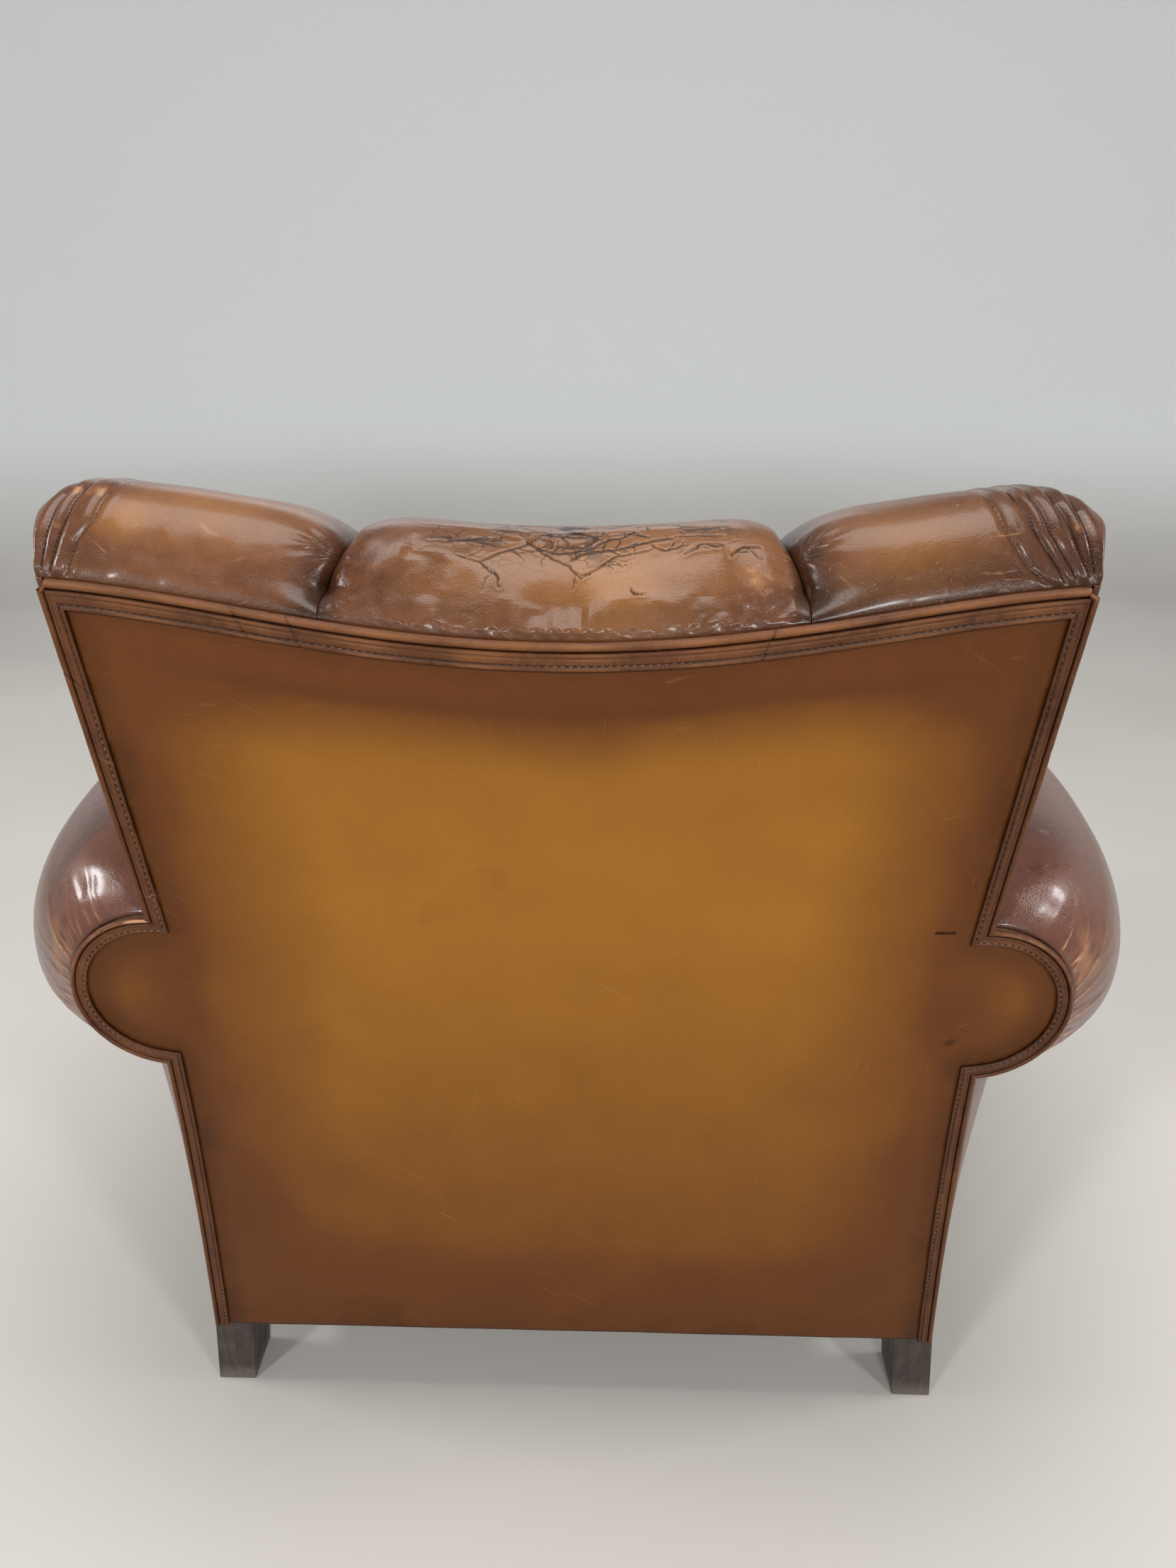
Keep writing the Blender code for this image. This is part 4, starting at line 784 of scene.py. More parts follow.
# Painted shade and stains for the dark mark: painted shade along the rim under the band and in a line along
# the crease under the top rail; darker also along the sides and towards the skirt, with a ring, a line, a
# dark spot and random patches.
shade = 0.30 * smooth(0.034, 0.018, from_edge) + 0.10 * smooth(0.05, 0.0, from_side)
shade += (0.26 * smooth(0.07, 0.0, up - SKIRT)
          + 0.16 * hump(from_top, 0.050, 0.007) * smooth(0.05, 0.10, from_side))
shade += (0.10 * hump(np.hypot(x - 0.080, up - 0.520), 0.040, 0.007)
          + 0.10 * hump(x, 0.092, 0.030) * hump(up, 0.507, 0.010))
shade +=0.9 * hump(x, -0.275, 0.0035) * hump(up, 0.408, 0.0025) + 0.12 * (ripple(flat, 0.16, 15) > 0.55)
slit = 0.66 * (np.abs(up - 0.504) < 0.0021) * smooth(-0.269, -0.264, x) * smooth(-0.248, -0.252, x)
scar = hump((up - 0.571) - 0.4 * (x + 0.260), 0.0, 0.0010) * hump(x, -0.260, 0.007)

# %% Scratches and flecks of the outside back
flecks = np.zeros(len(x))
draw = np.random.default_rng(16)
for number in range(46):
    high = number % 3 != 0
    centre = (draw.uniform(-0.27, 0.27), draw.uniform(0.655, 0.69) if high else draw.uniform(0.15, 0.62))
    turn, size = draw.uniform(-0.9, 0.9) + (math.pi / 2 if high else 0), draw.uniform(0.002, 0.010)
    ahead = (x - centre[0]) * math.cos(turn) + (up - centre[1]) * math.sin(turn)
    aside = (up - centre[1]) * math.cos(turn) - (x - centre[0]) * math.sin(turn)
    flecks = np.maximum(flecks, hump(ahead, 0, size) * hump(aside, 0, 0.0024) * draw.uniform(0.35, 0.9))
flecks = flecks * smooth(0.020, 0.028, from_edge) + 0.7 * scar
panel = piece("outside_back_hide", points, squares[:, ::-1], TAN_HIDE,
              {"tan": golden, "dark": shade, "pale": 0.55 * flecks, "split": slit}, flat)
tidy(panel)
face_towards(panel, (0, 1, 0))
wall(panel)
fit(panel, "tan_hide", "outside_back")
print("outside back: %.3f square metres of hide" % area_of(panel))

# %% [markdown]
# ## Piping and band
# The edge of the back is finished with a piped roll, and inside it a strip of hide that hides
# the nails. Both follow the outline and are mitred at its corners. Each is a cross-section led
# along seven runs: every point of the section has its own line, moved inwards from the outline,
# cut or carried on to the mitre at each corner, and divided into the same number of steps.

# %% Lines that follow the outline
# For each of the seven runs: the share of an inset it keeps, how far the strips wrap round its
# edge, and the shares of its length at which two strips are joined.
NARROWED = (0.66, 0.64, 0.72, 1, 0.72, 0.64, 0.66)
WRAPPED = (0, 0, 0.003, 0, 0.003, 0, 0)
JOINTS = {2: (0.76,), 3: (0.182, 0.235, 0.70), 4: (0.43,), 5: (0.42,)}


def run_along(line):
    """How far along its line each point lies."""
    return np.concatenate([[0], np.cumsum(np.hypot(*np.diff(line, axis=0).T))])


def length_of(line):
    return np.hypot(*np.diff(line, axis=0).T).sum()


def aside_from(line):
    """The way aside from a line at each of its points."""
    step = unit(np.diff(line, axis=0))
    turn = np.concatenate([step[:1], step[:-1] + step[1:], step[-1:]])
    return unit(np.stack([-turn[:, 1], turn[:, 0]], -1))


def moved_in(runs, inset):
    """The runs moved inwards and cut or carried on to their mitres; the piping wraps round the sides."""
    insets = [inset * share - past for share, past in zip(NARROWED, WRAPPED)]
    lines = [run + aside_from(run) * own for run, own in zip(runs, insets)]
    for index in range(len(runs) - 1):
        before = unit(runs[index][-1] - runs[index][-2])
        after = unit(runs[index + 1][1] - runs[index + 1][0])
        sides =np.array([[-h[1], h[0]] for h in (before, after)])
        mitre = runs[index][-1] + np.linalg.solve(sides, insets[index:index + 2])
        keep = (lines[index] - mitre) @ before < -1e-5
        keep[0] = True
        lines[index] = np.concatenate([lines[index][keep], [mitre]])
        keep = (lines[index + 1] - mitre) @ after > 1e-5
        keep[-1] = True
        lines[index + 1] = np.concatenate([[mitre], lines[index + 1][keep]])
    return lines


def divide(line, shares):
    """Points at shares of a line's length."""
    length = run_along(line)
    return np.stack([np.interp(shares * length[-1], length, line[:, axis]) for axis in (0, 1)], -1)


def led_round(runs, insets, pitch, soft=0.0, crisp=0.0012):
    """Rows of flat points, one for each inset; convex corners are rounded to a soft radius."""
    table = {}
    for inset in insets:
        rows = []
        lines = moved_in(runs, inset)
        for index, line in enumerate(lines):
            size = length_of(runs[index])
            steps = max(4, round(size / pitch))
            shares = np.linspace(0, 1, steps + 1)
            near = [crisp / size, 3 * crisp / size]
            fine = [joint + step * 0.0007 / size
                    for joint in JOINTS.get(index, ()) for step in (-3, -1, 0, 1, 3)]
            shares = np.unique(np.concatenate([shares, near, [1 - n for n in near], fine]))
            rows.append(divide(line, shares))
        if soft:
            for index in range(len(rows) - 1):
                before = unit(rows[index][-1] - rows[index][-3])
                after = unit(rows[index + 1][2] - rows[index + 1][0])
                bend = before[0] * after[1] - before[1] * after[0]
                cut = max(0.0, (soft - inset)) * math.tan(abs(math.asin(max(-1, min(1, bend)))) / 2 + 1e-9)
                if bend < 0.3 or cut < 1e-5:
                    rows[index] = np.concatenate([rows[index], np.repeat(rows[index][-1:], 5, 0)])
                    continue
                corner = rows[index][-1]
                start, end = corner - before * cut, corner + after * cut
                ahead = (rows[index] - start) @ before > 0
                rows[index][ahead] = start
                behind = (rows[index + 1] - end) @ after < 0
                rows[index + 1][behind] = end
                arc = bezier((start, corner - before * cut * 0.45, corner + after * cut * 0.45, end),
                             np.linspace(0, 1, 7)[1:-1])
                rows[index] = np.concatenate([rows[index], arc])
        table[inset] = np.concatenate([row if index == 0 else row[1:] for index, row in enumerate(rows)])
    return table


def strip_marks(marks, distance, ends, joint):
    """Marks of a strip: dark at its joints, painted shade along its sides, rubbed most over the top, worn
    through round the ears.
    """
    start, end = ends[3], ends[4]
    over_top = smooth(start - 0.01, start + 0.01, distance) * smooth(end + 0.01, end - 0.01, distance)
    over_top = over_top[:, None]
    # Painted shade: darker along the sides than over the top, and darker on the -X side than on the +X side.
    shaded = mix(0.06, 0.26, smooth(start, end, distance))[:, None] * (1 - over_top)
    over_ear = np.zeros(len(distance))
    for off_waist in (ends[2] - distance, distance - ends[5]):
        over_ear = np.maximum(over_ear, smooth(0.0, 0.004, off_waist) * smooth(0.13, 0.09, off_waist))
    torn_end = smooth(0.014, 0.011, ends[2] - distance) * smooth(-0.001, 0.001, ends[2] - distance)
    worn_through = 0.62 * over_ear + 1.3 * torn_end
    painted_marks = {}
    for mark, (by_section, by_length) in marks.items():
        by_section = np.asarray(by_section, float)[None, :]
        value = by_section * np.asarray(by_length(distance), float)[:, None]
        if mark == "dark":
            value = np.maximum(value + shaded, 0.6 * joint[:, None])
        else:
            value = value * mix(0.22, 1.0, over_top)
        if mark == "pale":
            value = np.maximum(value, by_section * worn_through[:, None])
        painted_marks[mark] = value.ravel()
    return painted_marks


def led(name, runs, section, pitch, finish, place, marks, soft=0.0, uneven=0.0, seed=1):
    """A closed section of (inset, depth) points led along the runs."""
    table = led_round(runs, sorted({inset for inset, _ in section}), pitch, soft)
    middle = table[section[0][0]]
    distance = run_along(middle)
    wobble = ripple(distance[:, None], 0.11, seed) * 0.6 + ripple(distance[:, None], 0.027, seed + 1) * 0.4
    whole = [length_of(line) for line in moved_in(runs, section[0][0])]
    joint = np.zeros(len(distance))
    for index, shares in JOINTS.items():
        for share in shares:
            joint = np.maximum(joint, hump(distance, sum(whole[:index]) + share * whole[index], 0.0010))
    rows = []
    for inset, depth in section:
        lift = (uneven * wobble - 0.0007 * joint) * (depth < 0.002)
        rows.append(place(table[inset][:, 0], table[inset][:, 1], depth - lift))
    grid = np.stack(rows, 1)
    across_strip = np.array([inset for inset, _ in section])
    flat_map = np.stack(np.broadcast_arrays(across_strip[None, :], distance[:, None]), -1)
    painted_marks = strip_marks(marks, distance, np.cumsum([0] + whole), joint)
    obj = piece(name, grid, tube(len(grid), len(section)), finish, painted_marks, flat_map)
    return tidy(obj, 2e-5), distance


# %% Piping and band of the back
RUNS = sides_of_back()
piping_section = []
for angle in np.radians([200, 176, 150, 125, 100, 75, 50, 25, 0, -30, -70, -110, -140]):
    inset = PIPING + PIPING * math.cos(angle + math.pi / 2 + 0.6)
    depth = HIDE - PIPING * math.sin(angle + math.pi / 2 + 0.6)
    piping_section.append((round(inset, 6), round(depth, 6)))
# The tan and pale of the cord lie on its proud outer edge: rubbing and a painted highlight.
rubbed_and_highlit_side = [max(0.0, (0.0012 - depth) / 0.0018) * smooth(0.0054, 0.0024, inset)
             for inset, depth in piping_section]
# Its inner side, against the band, is darkened: dirt and painted shade.
dirt_and_shade_side = [smooth(0.0046, 0.0062, inset) for inset, _ in piping_section]
piping, run = led("back_piping_hide", RUNS, piping_section, 0.006, BAND_HIDE, on_back,
                  soft=CORNER, uneven=0.0003,
                  marks={"tan": (rubbed_and_highlit_side, lambda s: 0.62 + 0.5 * ripple(s[:, None], 0.09, 3)),
                         "pale": (rubbed_and_highlit_side, lambda s: 0.16 + 0.30 * ripple(s[:, None], 0.05, 5)),
                         "dark": (dirt_and_shade_side, lambda s: 0.9 + 0 * s)}, seed=2)
fit(piping, "dark_hide", "back_piping")

band_section = [(0.0068, 0.0026), (0.0064, 0.0018), (0.0067, 0.0009), (0.0075, 0.0003), (0.0086, 0.0002),
                (0.0094, 0.0006), (0.0102, 0.0002), (0.0120, 0.0000), (0.0136, 0.0002), (0.0144, 0.0009),
                (0.0149, 0.0012), (0.0154, 0.0009), (0.0161, 0.0003), (0.0172, 0.0002), (0.0181, 0.0006),
                (0.0185, 0.0014), (0.0185, 0.0026), (0.0125, 0.0026)]
# How dark with dirt and with painted shade in the grooves and at the turned edges, and how rubbed, each of
# these places is.
groove_dirt_and_shade = [0.0, 0.9, 0.5, 0.15, 0.1, 0.55, 0.1, 0.0, 0.1, 0.7, 1.0, 0.7, 0.15, 0.1, 0.4, 1.0, 1.0, 0.0]
raised = [0.0, 0.0, 0.2, 0.6, 0.5, 0.0, 0.6, 0.25, 0.4, 0.0, 0.0, 0.0, 0.5, 0.5, 0.3, 0.0, 0.0, 0.0]
band, run = led("back_band_hide", RUNS, band_section, 0.006, BAND_HIDE, on_back, uneven=0.00022,
                marks={"dark": (groove_dirt_and_shade, lambda s: 0.8 + 0.35 * ripple(s[:, None], 0.07, 8)),
                       "tan": (raised, lambda s: 0.45 + 0.65 * ripple(s[:, None], 0.10, 9))}, seed=6)
fit(band, "dark_hide", "back_band")
print("piping and band: %.2f m long" % run[-1])

# %% [markdown]
# ## Stitches
# A row of stitches runs in the groove of the band. Each stitch is the same small grain of
# thread, so Geometry Nodes set them out: the line becomes a curve, the curve is divided by the
# stitch length, and a thread is laid on each point, turned along the line.

# %% A tree that sets out stitches
THREAD, tree, shader, where = finish_sheet("waxed thread")
soil = between(tree, noise(tree, where, 9.0, 3.0), 0.42, 0.66)
join(tree, shader, {"Base Color": blend(tree, soil, (0.055, 0.024, 0.014, 1), (0.24, 0.13, 0.07, 1)),
                    "Roughness": 0.7})


def line_tree(name, numbers, material):
    """An empty tree for a line: its named inputs and how to reach them, and the line as a curve."""
    tree = bpy.data.node_groups.new(name, "GeometryNodeTree")
    keys = {}
    for label, kind in {"Line": "Geometry", **dict.fromkeys(numbers, "Float"), material: "Material"}.items():
        socket = tree.interface.new_socket(label, in_out="INPUT", socket_type="NodeSocket" + kind)
        keys[label] = socket.identifier
    tree.interface.new_socket("Made", in_out="OUTPUT", socket_type="NodeSocketGeometry")
    given = tree.nodes.new("NodeGroupInput").outputs
    curve = wire(tree, "GeometryNodeMeshToCurve", {0: given["Line"]}).outputs[0]
    return tree, keys, given, curve


def dressed_in(tree, shape, material):
    """The end of such a tree: its shape with its material."""
    dyed = wire(tree, "GeometryNodeSetMaterial", {"Geometry": shape, "Material": material})
    join(tree, tree.nodes.new("NodeGroupOutput"), {0: dyed.outputs[0]})


def made_along(name, mesh, tree, keys, values):
    """An object from a line, its tree and the values of the tree's inputs."""
    maker = into_scene(name + "_line", mesh)
    step = maker.modifiers.new(tree.name, "NODES")
    step.node_group = tree
    for label, value in values.items():
        step[keys[label]] = value
    made = as_made(maker)
    made.name = name
    made.shade_smooth()
    bpy.data.objects.remove(maker, do_unlink=True)
    bpy.data.meshes.remove(mesh)
    return into_scene(name, made)


STITCHES, STITCH_KEYS, given, curve = line_tree("row of stitches", ("Pitch", "Length", "Thickness"), "Thread")
even = wire(STITCHES, "GeometryNodeResampleCurve", {"Curve": curve, "Length": given["Pitch"]}, mode="LENGTH")
grainlet = wire(STITCHES, "GeometryNodeMeshUVSphere", {"Segments": 6, "Rings": 4, "Radius": 0.5})
out = wire(STITCHES, "GeometryNodeInputNamedAttribute", {"Name": "out"}, data_type="FLOAT_VECTOR")
tangent = STITCHES.nodes.new("GeometryNodeInputTangent").outputs[0]
along = wire(STITCHES, "FunctionNodeAlignRotationToVector", {"Vector": tangent}, axis="X")
turned = wire(STITCHES, "FunctionNodeAlignRotationToVector",
              {"Rotation": along.outputs[0], "Vector": out.outputs["Attribute"]}, axis="Z", pivot_axis="X")
uneven = wire(STITCHES, "FunctionNodeRandomValue", {2: 0.75, 3: 1.15, "Seed": 7}, data_type="FLOAT")
length = sums(STITCHES, "MULTIPLY", given["Length"], uneven.outputs[1])
size = wire(STITCHES, "ShaderNodeCombineXYZ", {0: length, 1: given["Thickness"], 2: given["Thickness"]})
laid = wire(STITCHES, "GeometryNodeInstanceOnPoints", {
    "Points": even.outputs[0], "Instance": grainlet.outputs[0], "Rotation": turned.outputs[0],
    "Scale": size.outputs[0]})
real = wire(STITCHES, "GeometryNodeRealizeInstances", {0: laid.outputs[0]})
dressed_in(STITCHES, real.outputs[0], given["Thread"])


def stitches(name, line, out, pitch=0.0048, length=0.0034, thickness=0.0008):
    """A row of stitches along a line of points; out is the direction away from the hide."""
    mesh = bpy.data.meshes.new(name + "_line")
    mesh.from_pydata(line.tolist(), [(i, i + 1) for i in range(len(line) - 1)], [])
    layer = mesh.attributes.new("out", "FLOAT_VECTOR", "POINT")
    layer.data.foreach_set("vector", np.broadcast_to(out, line.shape).astype(np.float32).ravel())
    values = {"Pitch": pitch, "Length": length, "Thickness": thickness, "Thread": THREAD}
    return made_along(name, mesh, STITCHES, STITCH_KEYS, values)


seam = led_round(RUNS, [0.0149], 0.006)[0.0149]
OUTWARDS = (0.0, math.cos(RAKE), -math.sin(RAKE))
row = stitches("band_stitches", on_back(seam[:, 0], seam[:, 1], 0.0009), OUTWARDS)
fit(row, "dark_hide")

# %% [markdown]
# ## Room taken by the frame and the arms
# A stuffed pad may swell anywhere but into wood or into its neighbour. Two small helpers push
# points out again: one out of the frame of the back, the other out of the stuffed arms.

# %% The arms as forms
FRONT_Y = -0.430
ARM_Z = 0.452
ROLL = 0.093
FACING_ROLL = 0.078
SEAT_HALF = BACK_HALF - 0.0235
ARM_X = SEAT_HALF + ROLL
ARM_OVERHANG = 0.026
ARM_REAR = back_y(ARM_Z, TIMBER_NEAR)
FRONT_TIMBER = FRONT_Y + TIMBER_NEAR
REAR_CENTRE_Z = float(on_back(*EAR_CENTRE, TIMBER_NEAR)[2])


def arm_roll(y):
    """Centre, radius and overhang of the stuffed roll at a place along the arm."""
    swing = np.exp((y - ARM_REAR) / 0.100)
    radius = (ROLL - (ROLL - EAR_RADIUS) * np.exp((y - ARM_REAR) / 0.030)
              - (ROLL - FACING_ROLL) * np.exp((FRONT_Y - y) / 0.020))
    return (mix(ARM_X, EAR_CENTRE[0], swing), mix(ARM_Z, REAR_CENTRE_Z, swing), radius,
            mix(ARM_OVERHANG, UNDER_ARM[0] - EAR_CENTRE[0], swing))


def arm_lean(y):
    return (y - FRONT_Y) / (ARM_REAR - FRONT_Y) * math.tan(RAKE)


def arm_station(points):
    """The place along the arm whose leaning section goes through each point."""
    lean = (points[..., 2] - ARM_Z) * math.tan(RAKE) / (ARM_REAR - FRONT_Y)
    return np.clip((points[..., 1] + FRONT_Y * lean) / (1 + lean), FRONT_Y, ARM_REAR)


def clear_of_frame(points, room=0.0002):
    points = points.copy()
    up, depth = in_back(points)
    half = side_edge(up) - FRAME_EDGE
    far, aside = FRAME_FAR - depth, half - np.abs(points[..., 0])
    over = top_edge(points[..., 0]) - FRAME_EDGE - up
    stuck = (far > 0) & (aside > 0) & (over > 0)
    least = np.minimum(np.minimum(far, aside), over)
    forwards = stuck & (far == least)
    sideways = stuck & (aside == least) & ~forwards
    upwards_too = stuck & ~forwards & ~sideways
    depth = np.where(forwards, FRAME_FAR + room, depth)
    up = np.where(upwards_too, up + over + room, up)
    x = np.where(sideways, np.sign(points[..., 0]) * (half + room), points[..., 0])
    return np.where(stuck[..., None], on_back(x, up, depth), points)


def clear_of_arms(points, room=0.0008):
    points = points.copy()
    centre_x, centre_z, radius, _ = arm_roll(arm_station(points))
    radius = radius + room
    side, x, z = np.sign(points[..., 0]), np.abs(points[..., 0]), points[..., 2]
    off = np.hypot(x - centre_x, z - centre_z)
    low = (z < centre_z) & (x > centre_x - radius)
    high = (z >= centre_z) & (off < radius)
    scale = radius / np.maximum(off, 1e-6)
    beside = np.where(high, centre_x + (x - centre_x) * scale, x)
    points[..., 0] = side * np.where(low, centre_x - radius, beside)
    points[..., 2] = np.where(high, centre_z + (z - centre_z) * scale, z)
    return points


# %% [markdown]
# ## The back pads
# Three stuffed pads rise from the seat, roll over the top rail and are nailed under the band.
# Seen from behind, their rolled tops are the most telling part of the chair. Each is laid out
# as columns that run from the band over the crest to the seat, so everything on it can be placed
# by two numbers: how far across the pad, and how far along its column. The hide is drawn in at
# the seams, so each pad swells between them, and at the outer corners the columns of the side
# meet at one point, where an upholsterer has to fold the hide in pleats.

# %% Form of the pads
PAD_BOTTOM = DECK_TOP + 0.0037
PAD_HALF = SEAT_HALF - 0.010
PAD_RISE, CREST_DEPTH, PAD_TOP = 0.057, 0.060, 0.090
SEAM_SEAT, SEAM_TOP = 0.130, 0.147
BENT_AT, BELOW_BEND = 0.83, 0.82
PAD_DEPTH = np.array(((0.0, 0.243), (0.13, 0.267), (0.37, 0.287), (0.61, 0.280), (0.83, 0.254)))
FRONT_CURVE = np.polyfit(PAD_DEPTH[:, 0], PAD_DEPTH[:, 1], 4)
V_STEPS = np.concatenate([np.linspace(0, 1, 108)[:-1], np.linspace(1, 2, 54)[:-1], np.linspace(2, 3, 22)])
VISIBLE = len(V_STEPS)


def pad_front(share):
    """The pads' front at a share of the height from seat to top line: y and z."""
    z = mix(PAD_BOTTOM, TOP_MIDDLE, share)
    return np.stack([back_y(z) - np.polyval(FRONT_CURVE, share), z], -1)


def pad_lines(x, v):
    """Section of the pads at each x: v runs 0 to 1 over the top, to 2 down to the front, to 3 at the seat."""
    x, v = np.broadcast_arrays(np.abs(x)[:, None], v[None, :])
    rear = on_back(x, top_edge(x), TIMBER_NEAR)[..., 1:]
    crest = rear + (-CREST_DEPTH, PAD_RISE)
    over = bezier((rear, rear + (0, PAD_RISE / 2), crest + (CREST_DEPTH / 2, 0), crest), np.clip(v, 0, 1))
    front = pad_front(BENT_AT)
    slope = (front - pad_front(BELOW_BEND)) * 20
    down = bezier((crest, crest - (PAD_TOP, 0), front + slope, front), np.clip(v - 1, 0, 1))
    low = pad_front(BENT_AT * (1 - np.clip(v - 2, 0, 1)))
    return np.where(v[..., None] <= 1, over, np.where(v[..., None] <= 2, down, low))


def pad_seam(z, v=0.0):
    """Where two pads meet: the seam leans inwards where it goes over the crest."""
    plain = mix(SEAM_SEAT, SEAM_TOP, (z - PAD_BOTTOM) / (TOP_MIDDLE - PAD_BOTTOM))
    return plain - 0.010 * smooth(0.15, 0.95, v) * smooth(2.6, 1.2, v)


def pad_outer(y, z):
    """Outer side of an outer pad: between the arms, and above them round the side of the back."""
    ahead = back_y(z, TIMBER_NEAR) - y
    over_edge = 0.0030 * smooth(ARM_Z + 0.06, ARM_Z + 0.09, z)
    flared = side_edge(z / math.cos(RAKE)) - GAP + over_edge + 0.0105 * smooth(-0.004, 0.045, ahead)
    return mix(PAD_HALF, flared, smooth(ARM_Z, ARM_Z + CREST_DEPTH, z))


def drawn_in(lines, inset, v):
    """Lines moved into the pad, by nothing where they are nailed."""
    way = np.gradient(lines, axis=1)
    inwards = unit(np.stack([-way[..., 1], way[..., 0]], -1))
    return lines + inwards * (inset * smooth(-0.02, 0.30, v))[..., None]


def rounding(distance, width, depth):
    """How far a stuffed edge is drawn in at a distance from its seam: a quarter of an oval."""
    share = np.clip(1 - distance / width, 0, 1)
    return depth * (1 - np.sqrt(np.maximum(1 - share ** 2, 0)))


def ring_of(front, x_front, x_hidden, up_top):
    """One closed section: the front, along the underside, and up behind."""
    rows = [np.stack([x_front, front[:, 0], front[:, 1]], -1)]
    under = [(mix(front[-1, 0], back_y(PAD_BOTTOM, FRAME_FAR), s), PAD_BOTTOM) for s in (0.33, 0.66)]
    rows.append(np.array([(x_hidden(z), y, z) for y, z in under]))
    start = PAD_BOTTOM / math.cos(RAKE) - FRAME_FAR * math.tan(RAKE)
    rising = [(mix(start, up_top, s), FRAME_FAR) for s in np.linspace(0, 1, 9)]
    rising += [(up_top + 0.0002, TIMBER_NEAR + 0.024), (up_top + 0.0002, TIMBER_NEAR + 0.0005)]
    rows.append(np.array([on_back(x_hidden(up * math.cos(RAKE)), up, depth) for up, depth in rising]))
    return np.concatenate(rows)


def close_rings(name, rings, finish, marks=None):
    """A closed body from rings, with its two ends filled."""
    return piece(name, rings, tube(*rings.shape[:2]), finish, marks)


def surface_out(grid):
    """Outward direction of a grid of points whose columns run along its second axis."""
    out = unit(np.cross(np.gradient(grid, axis=0), np.gradient(grid, axis=1)))
    middle = out[len(out) // 2, 30]
    return out if middle[2] > 0 else -out


def pad_marks(rings, painted_on):
    """Numbers for every point of the rings; the hidden part of each ring is left at nought."""
    marks = {}
    for mark, values in painted_on.items():
        whole = np.zeros(rings.shape[:2])
        whole[:, :VISIBLE] = np.clip(values, 0, 1.5)
        marks[mark] = whole
    return marks


# %% [markdown]
# ## Filling the pads
# A stuffed cover is not a drawn shape: the hide is held at its seams and the hair pushes it out
# everywhere else. Cloth simulation does just that. The net of a pad is thinned out, pinned where
# it is sewn or nailed, and given a little pressure inside for a few frames. How far each place
# moved is then spread over the fine net again, so no detail is lost and the run stays short.

# %% Cloth simulation with pressure inside
def blown_up(points, faces, held, pressure, frames=16, slack=0.0, bending=1.5):
    """Places of a closed hide after it was filled; held is 1 where it is sewn down."""
    mesh = bpy.data.meshes.new("cover")
    mesh.from_pydata(points.tolist(), [], faces)
    shape = bmesh.new()
    shape.from_mesh(mesh)
    bmesh.ops.recalc_face_normals(shape, faces=shape.faces)
    shape.to_mesh(mesh)
    shape.free()
    cover = into_scene("cover", mesh)
    pins = cover.vertex_groups.new(name="held")
    for index in np.flatnonzero(held > 0.01):
        pins.add([int(index)], float(min(1.0, held[index])), "REPLACE")
    hide_cloth = cover.modifiers.new("hide", "CLOTH")
    rules = hide_cloth.settings
    rules.quality = 4
    rules.mass = 0.4
    rules.tension_stiffness = rules.compression_stiffness = rules.shear_stiffness = 25
    rules.bending_stiffness = bending
    rules.use_pressure = True
    rules.uniform_pressure_force = pressure
    rules.shrink_min = -slack
    rules.vertex_group_mass = "held"
    rules.effector_weights.gravity = 0
    hide_cloth.collision_settings.use_collision = False
    hide_cloth.point_cache.frame_end = frames
    for step in range(1, frames + 1):
        bpy.context.scene.frame_set(step)
    finished = cover.evaluated_get(bpy.context.evaluated_depsgraph_get()).to_mesh()
    places = np.zeros(len(points) * 3)
    finished.vertices.foreach_get("co", places)
    bpy.data.objects.remove(cover, do_unlink=True)
    bpy.data.meshes.remove(mesh)
    bpy.context.scene.frame_set(1)
    return places.reshape(-1, 3)


def capped(move, most):
    """Moves made shorter where they are longer than the most allowed, softly."""
    size = np.linalg.norm(move, axis=-1, keepdims=True)
    return move * most * np.tanh(size / most) / np.maximum(size, 1e-9)


def filled(rings, free, most=0.0045, pressure=2.5, slack=0.012):
    """Rings of a pad after its cover was filled; free is 1 where the hide isn't held."""
    some_rings = np.unique(np.round(np.linspace(0, len(rings) - 1, 56)).astype(int))
    hidden = np.arange(VISIBLE, rings.shape[1])
    some_places = np.concatenate([np.unique(np.round(np.linspace(0, VISIBLE - 1, 64)).astype(int)), hidden])
    thin = rings[np.ix_(some_rings, some_places)]
    held = np.ones(thin.shape[:2])
    seen = some_places < VISIBLE
    held[:, seen] = 1 - free[np.ix_(some_rings, some_places[seen])]
    held[0] = held[-1] = 1
    places = blown_up(thin.reshape(-1, 3), tube(*thin.shape[:2]), held.ravel(), pressure, slack=slack)
    move = capped(places.reshape(thin.shape) - thin, most)[:, seen]
    across_all = np.stack([[np.interp(np.arange(len(rings)), some_rings, move[:, i, k]) for k in range(3)]
                           for i in range(move.shape[1])], 0)
    whole = np.stack([[np.interp(np.arange(VISIBLE), some_places[seen], across_all[:, k, j])
                       for k in range(3)] for j in range(len(rings))], 0).transpose(0, 2, 1)
    rings = rings.copy()
    rings[:, :VISIBLE] += whole * free[..., None]
    print("filled: moved %.1f mm at most" % (1000 * np.linalg.norm(move, axis=-1).max()))
    return rings


# %% [markdown]
# ## Folds, creases and cracks
# Real wear has a cause, so each mark here is a small rule. A pucker fans out from a seam that is
# pulled tight. A crack is a line that wanders, with lips that curl up. Each rule gives a height
# in metres, and some also paint.

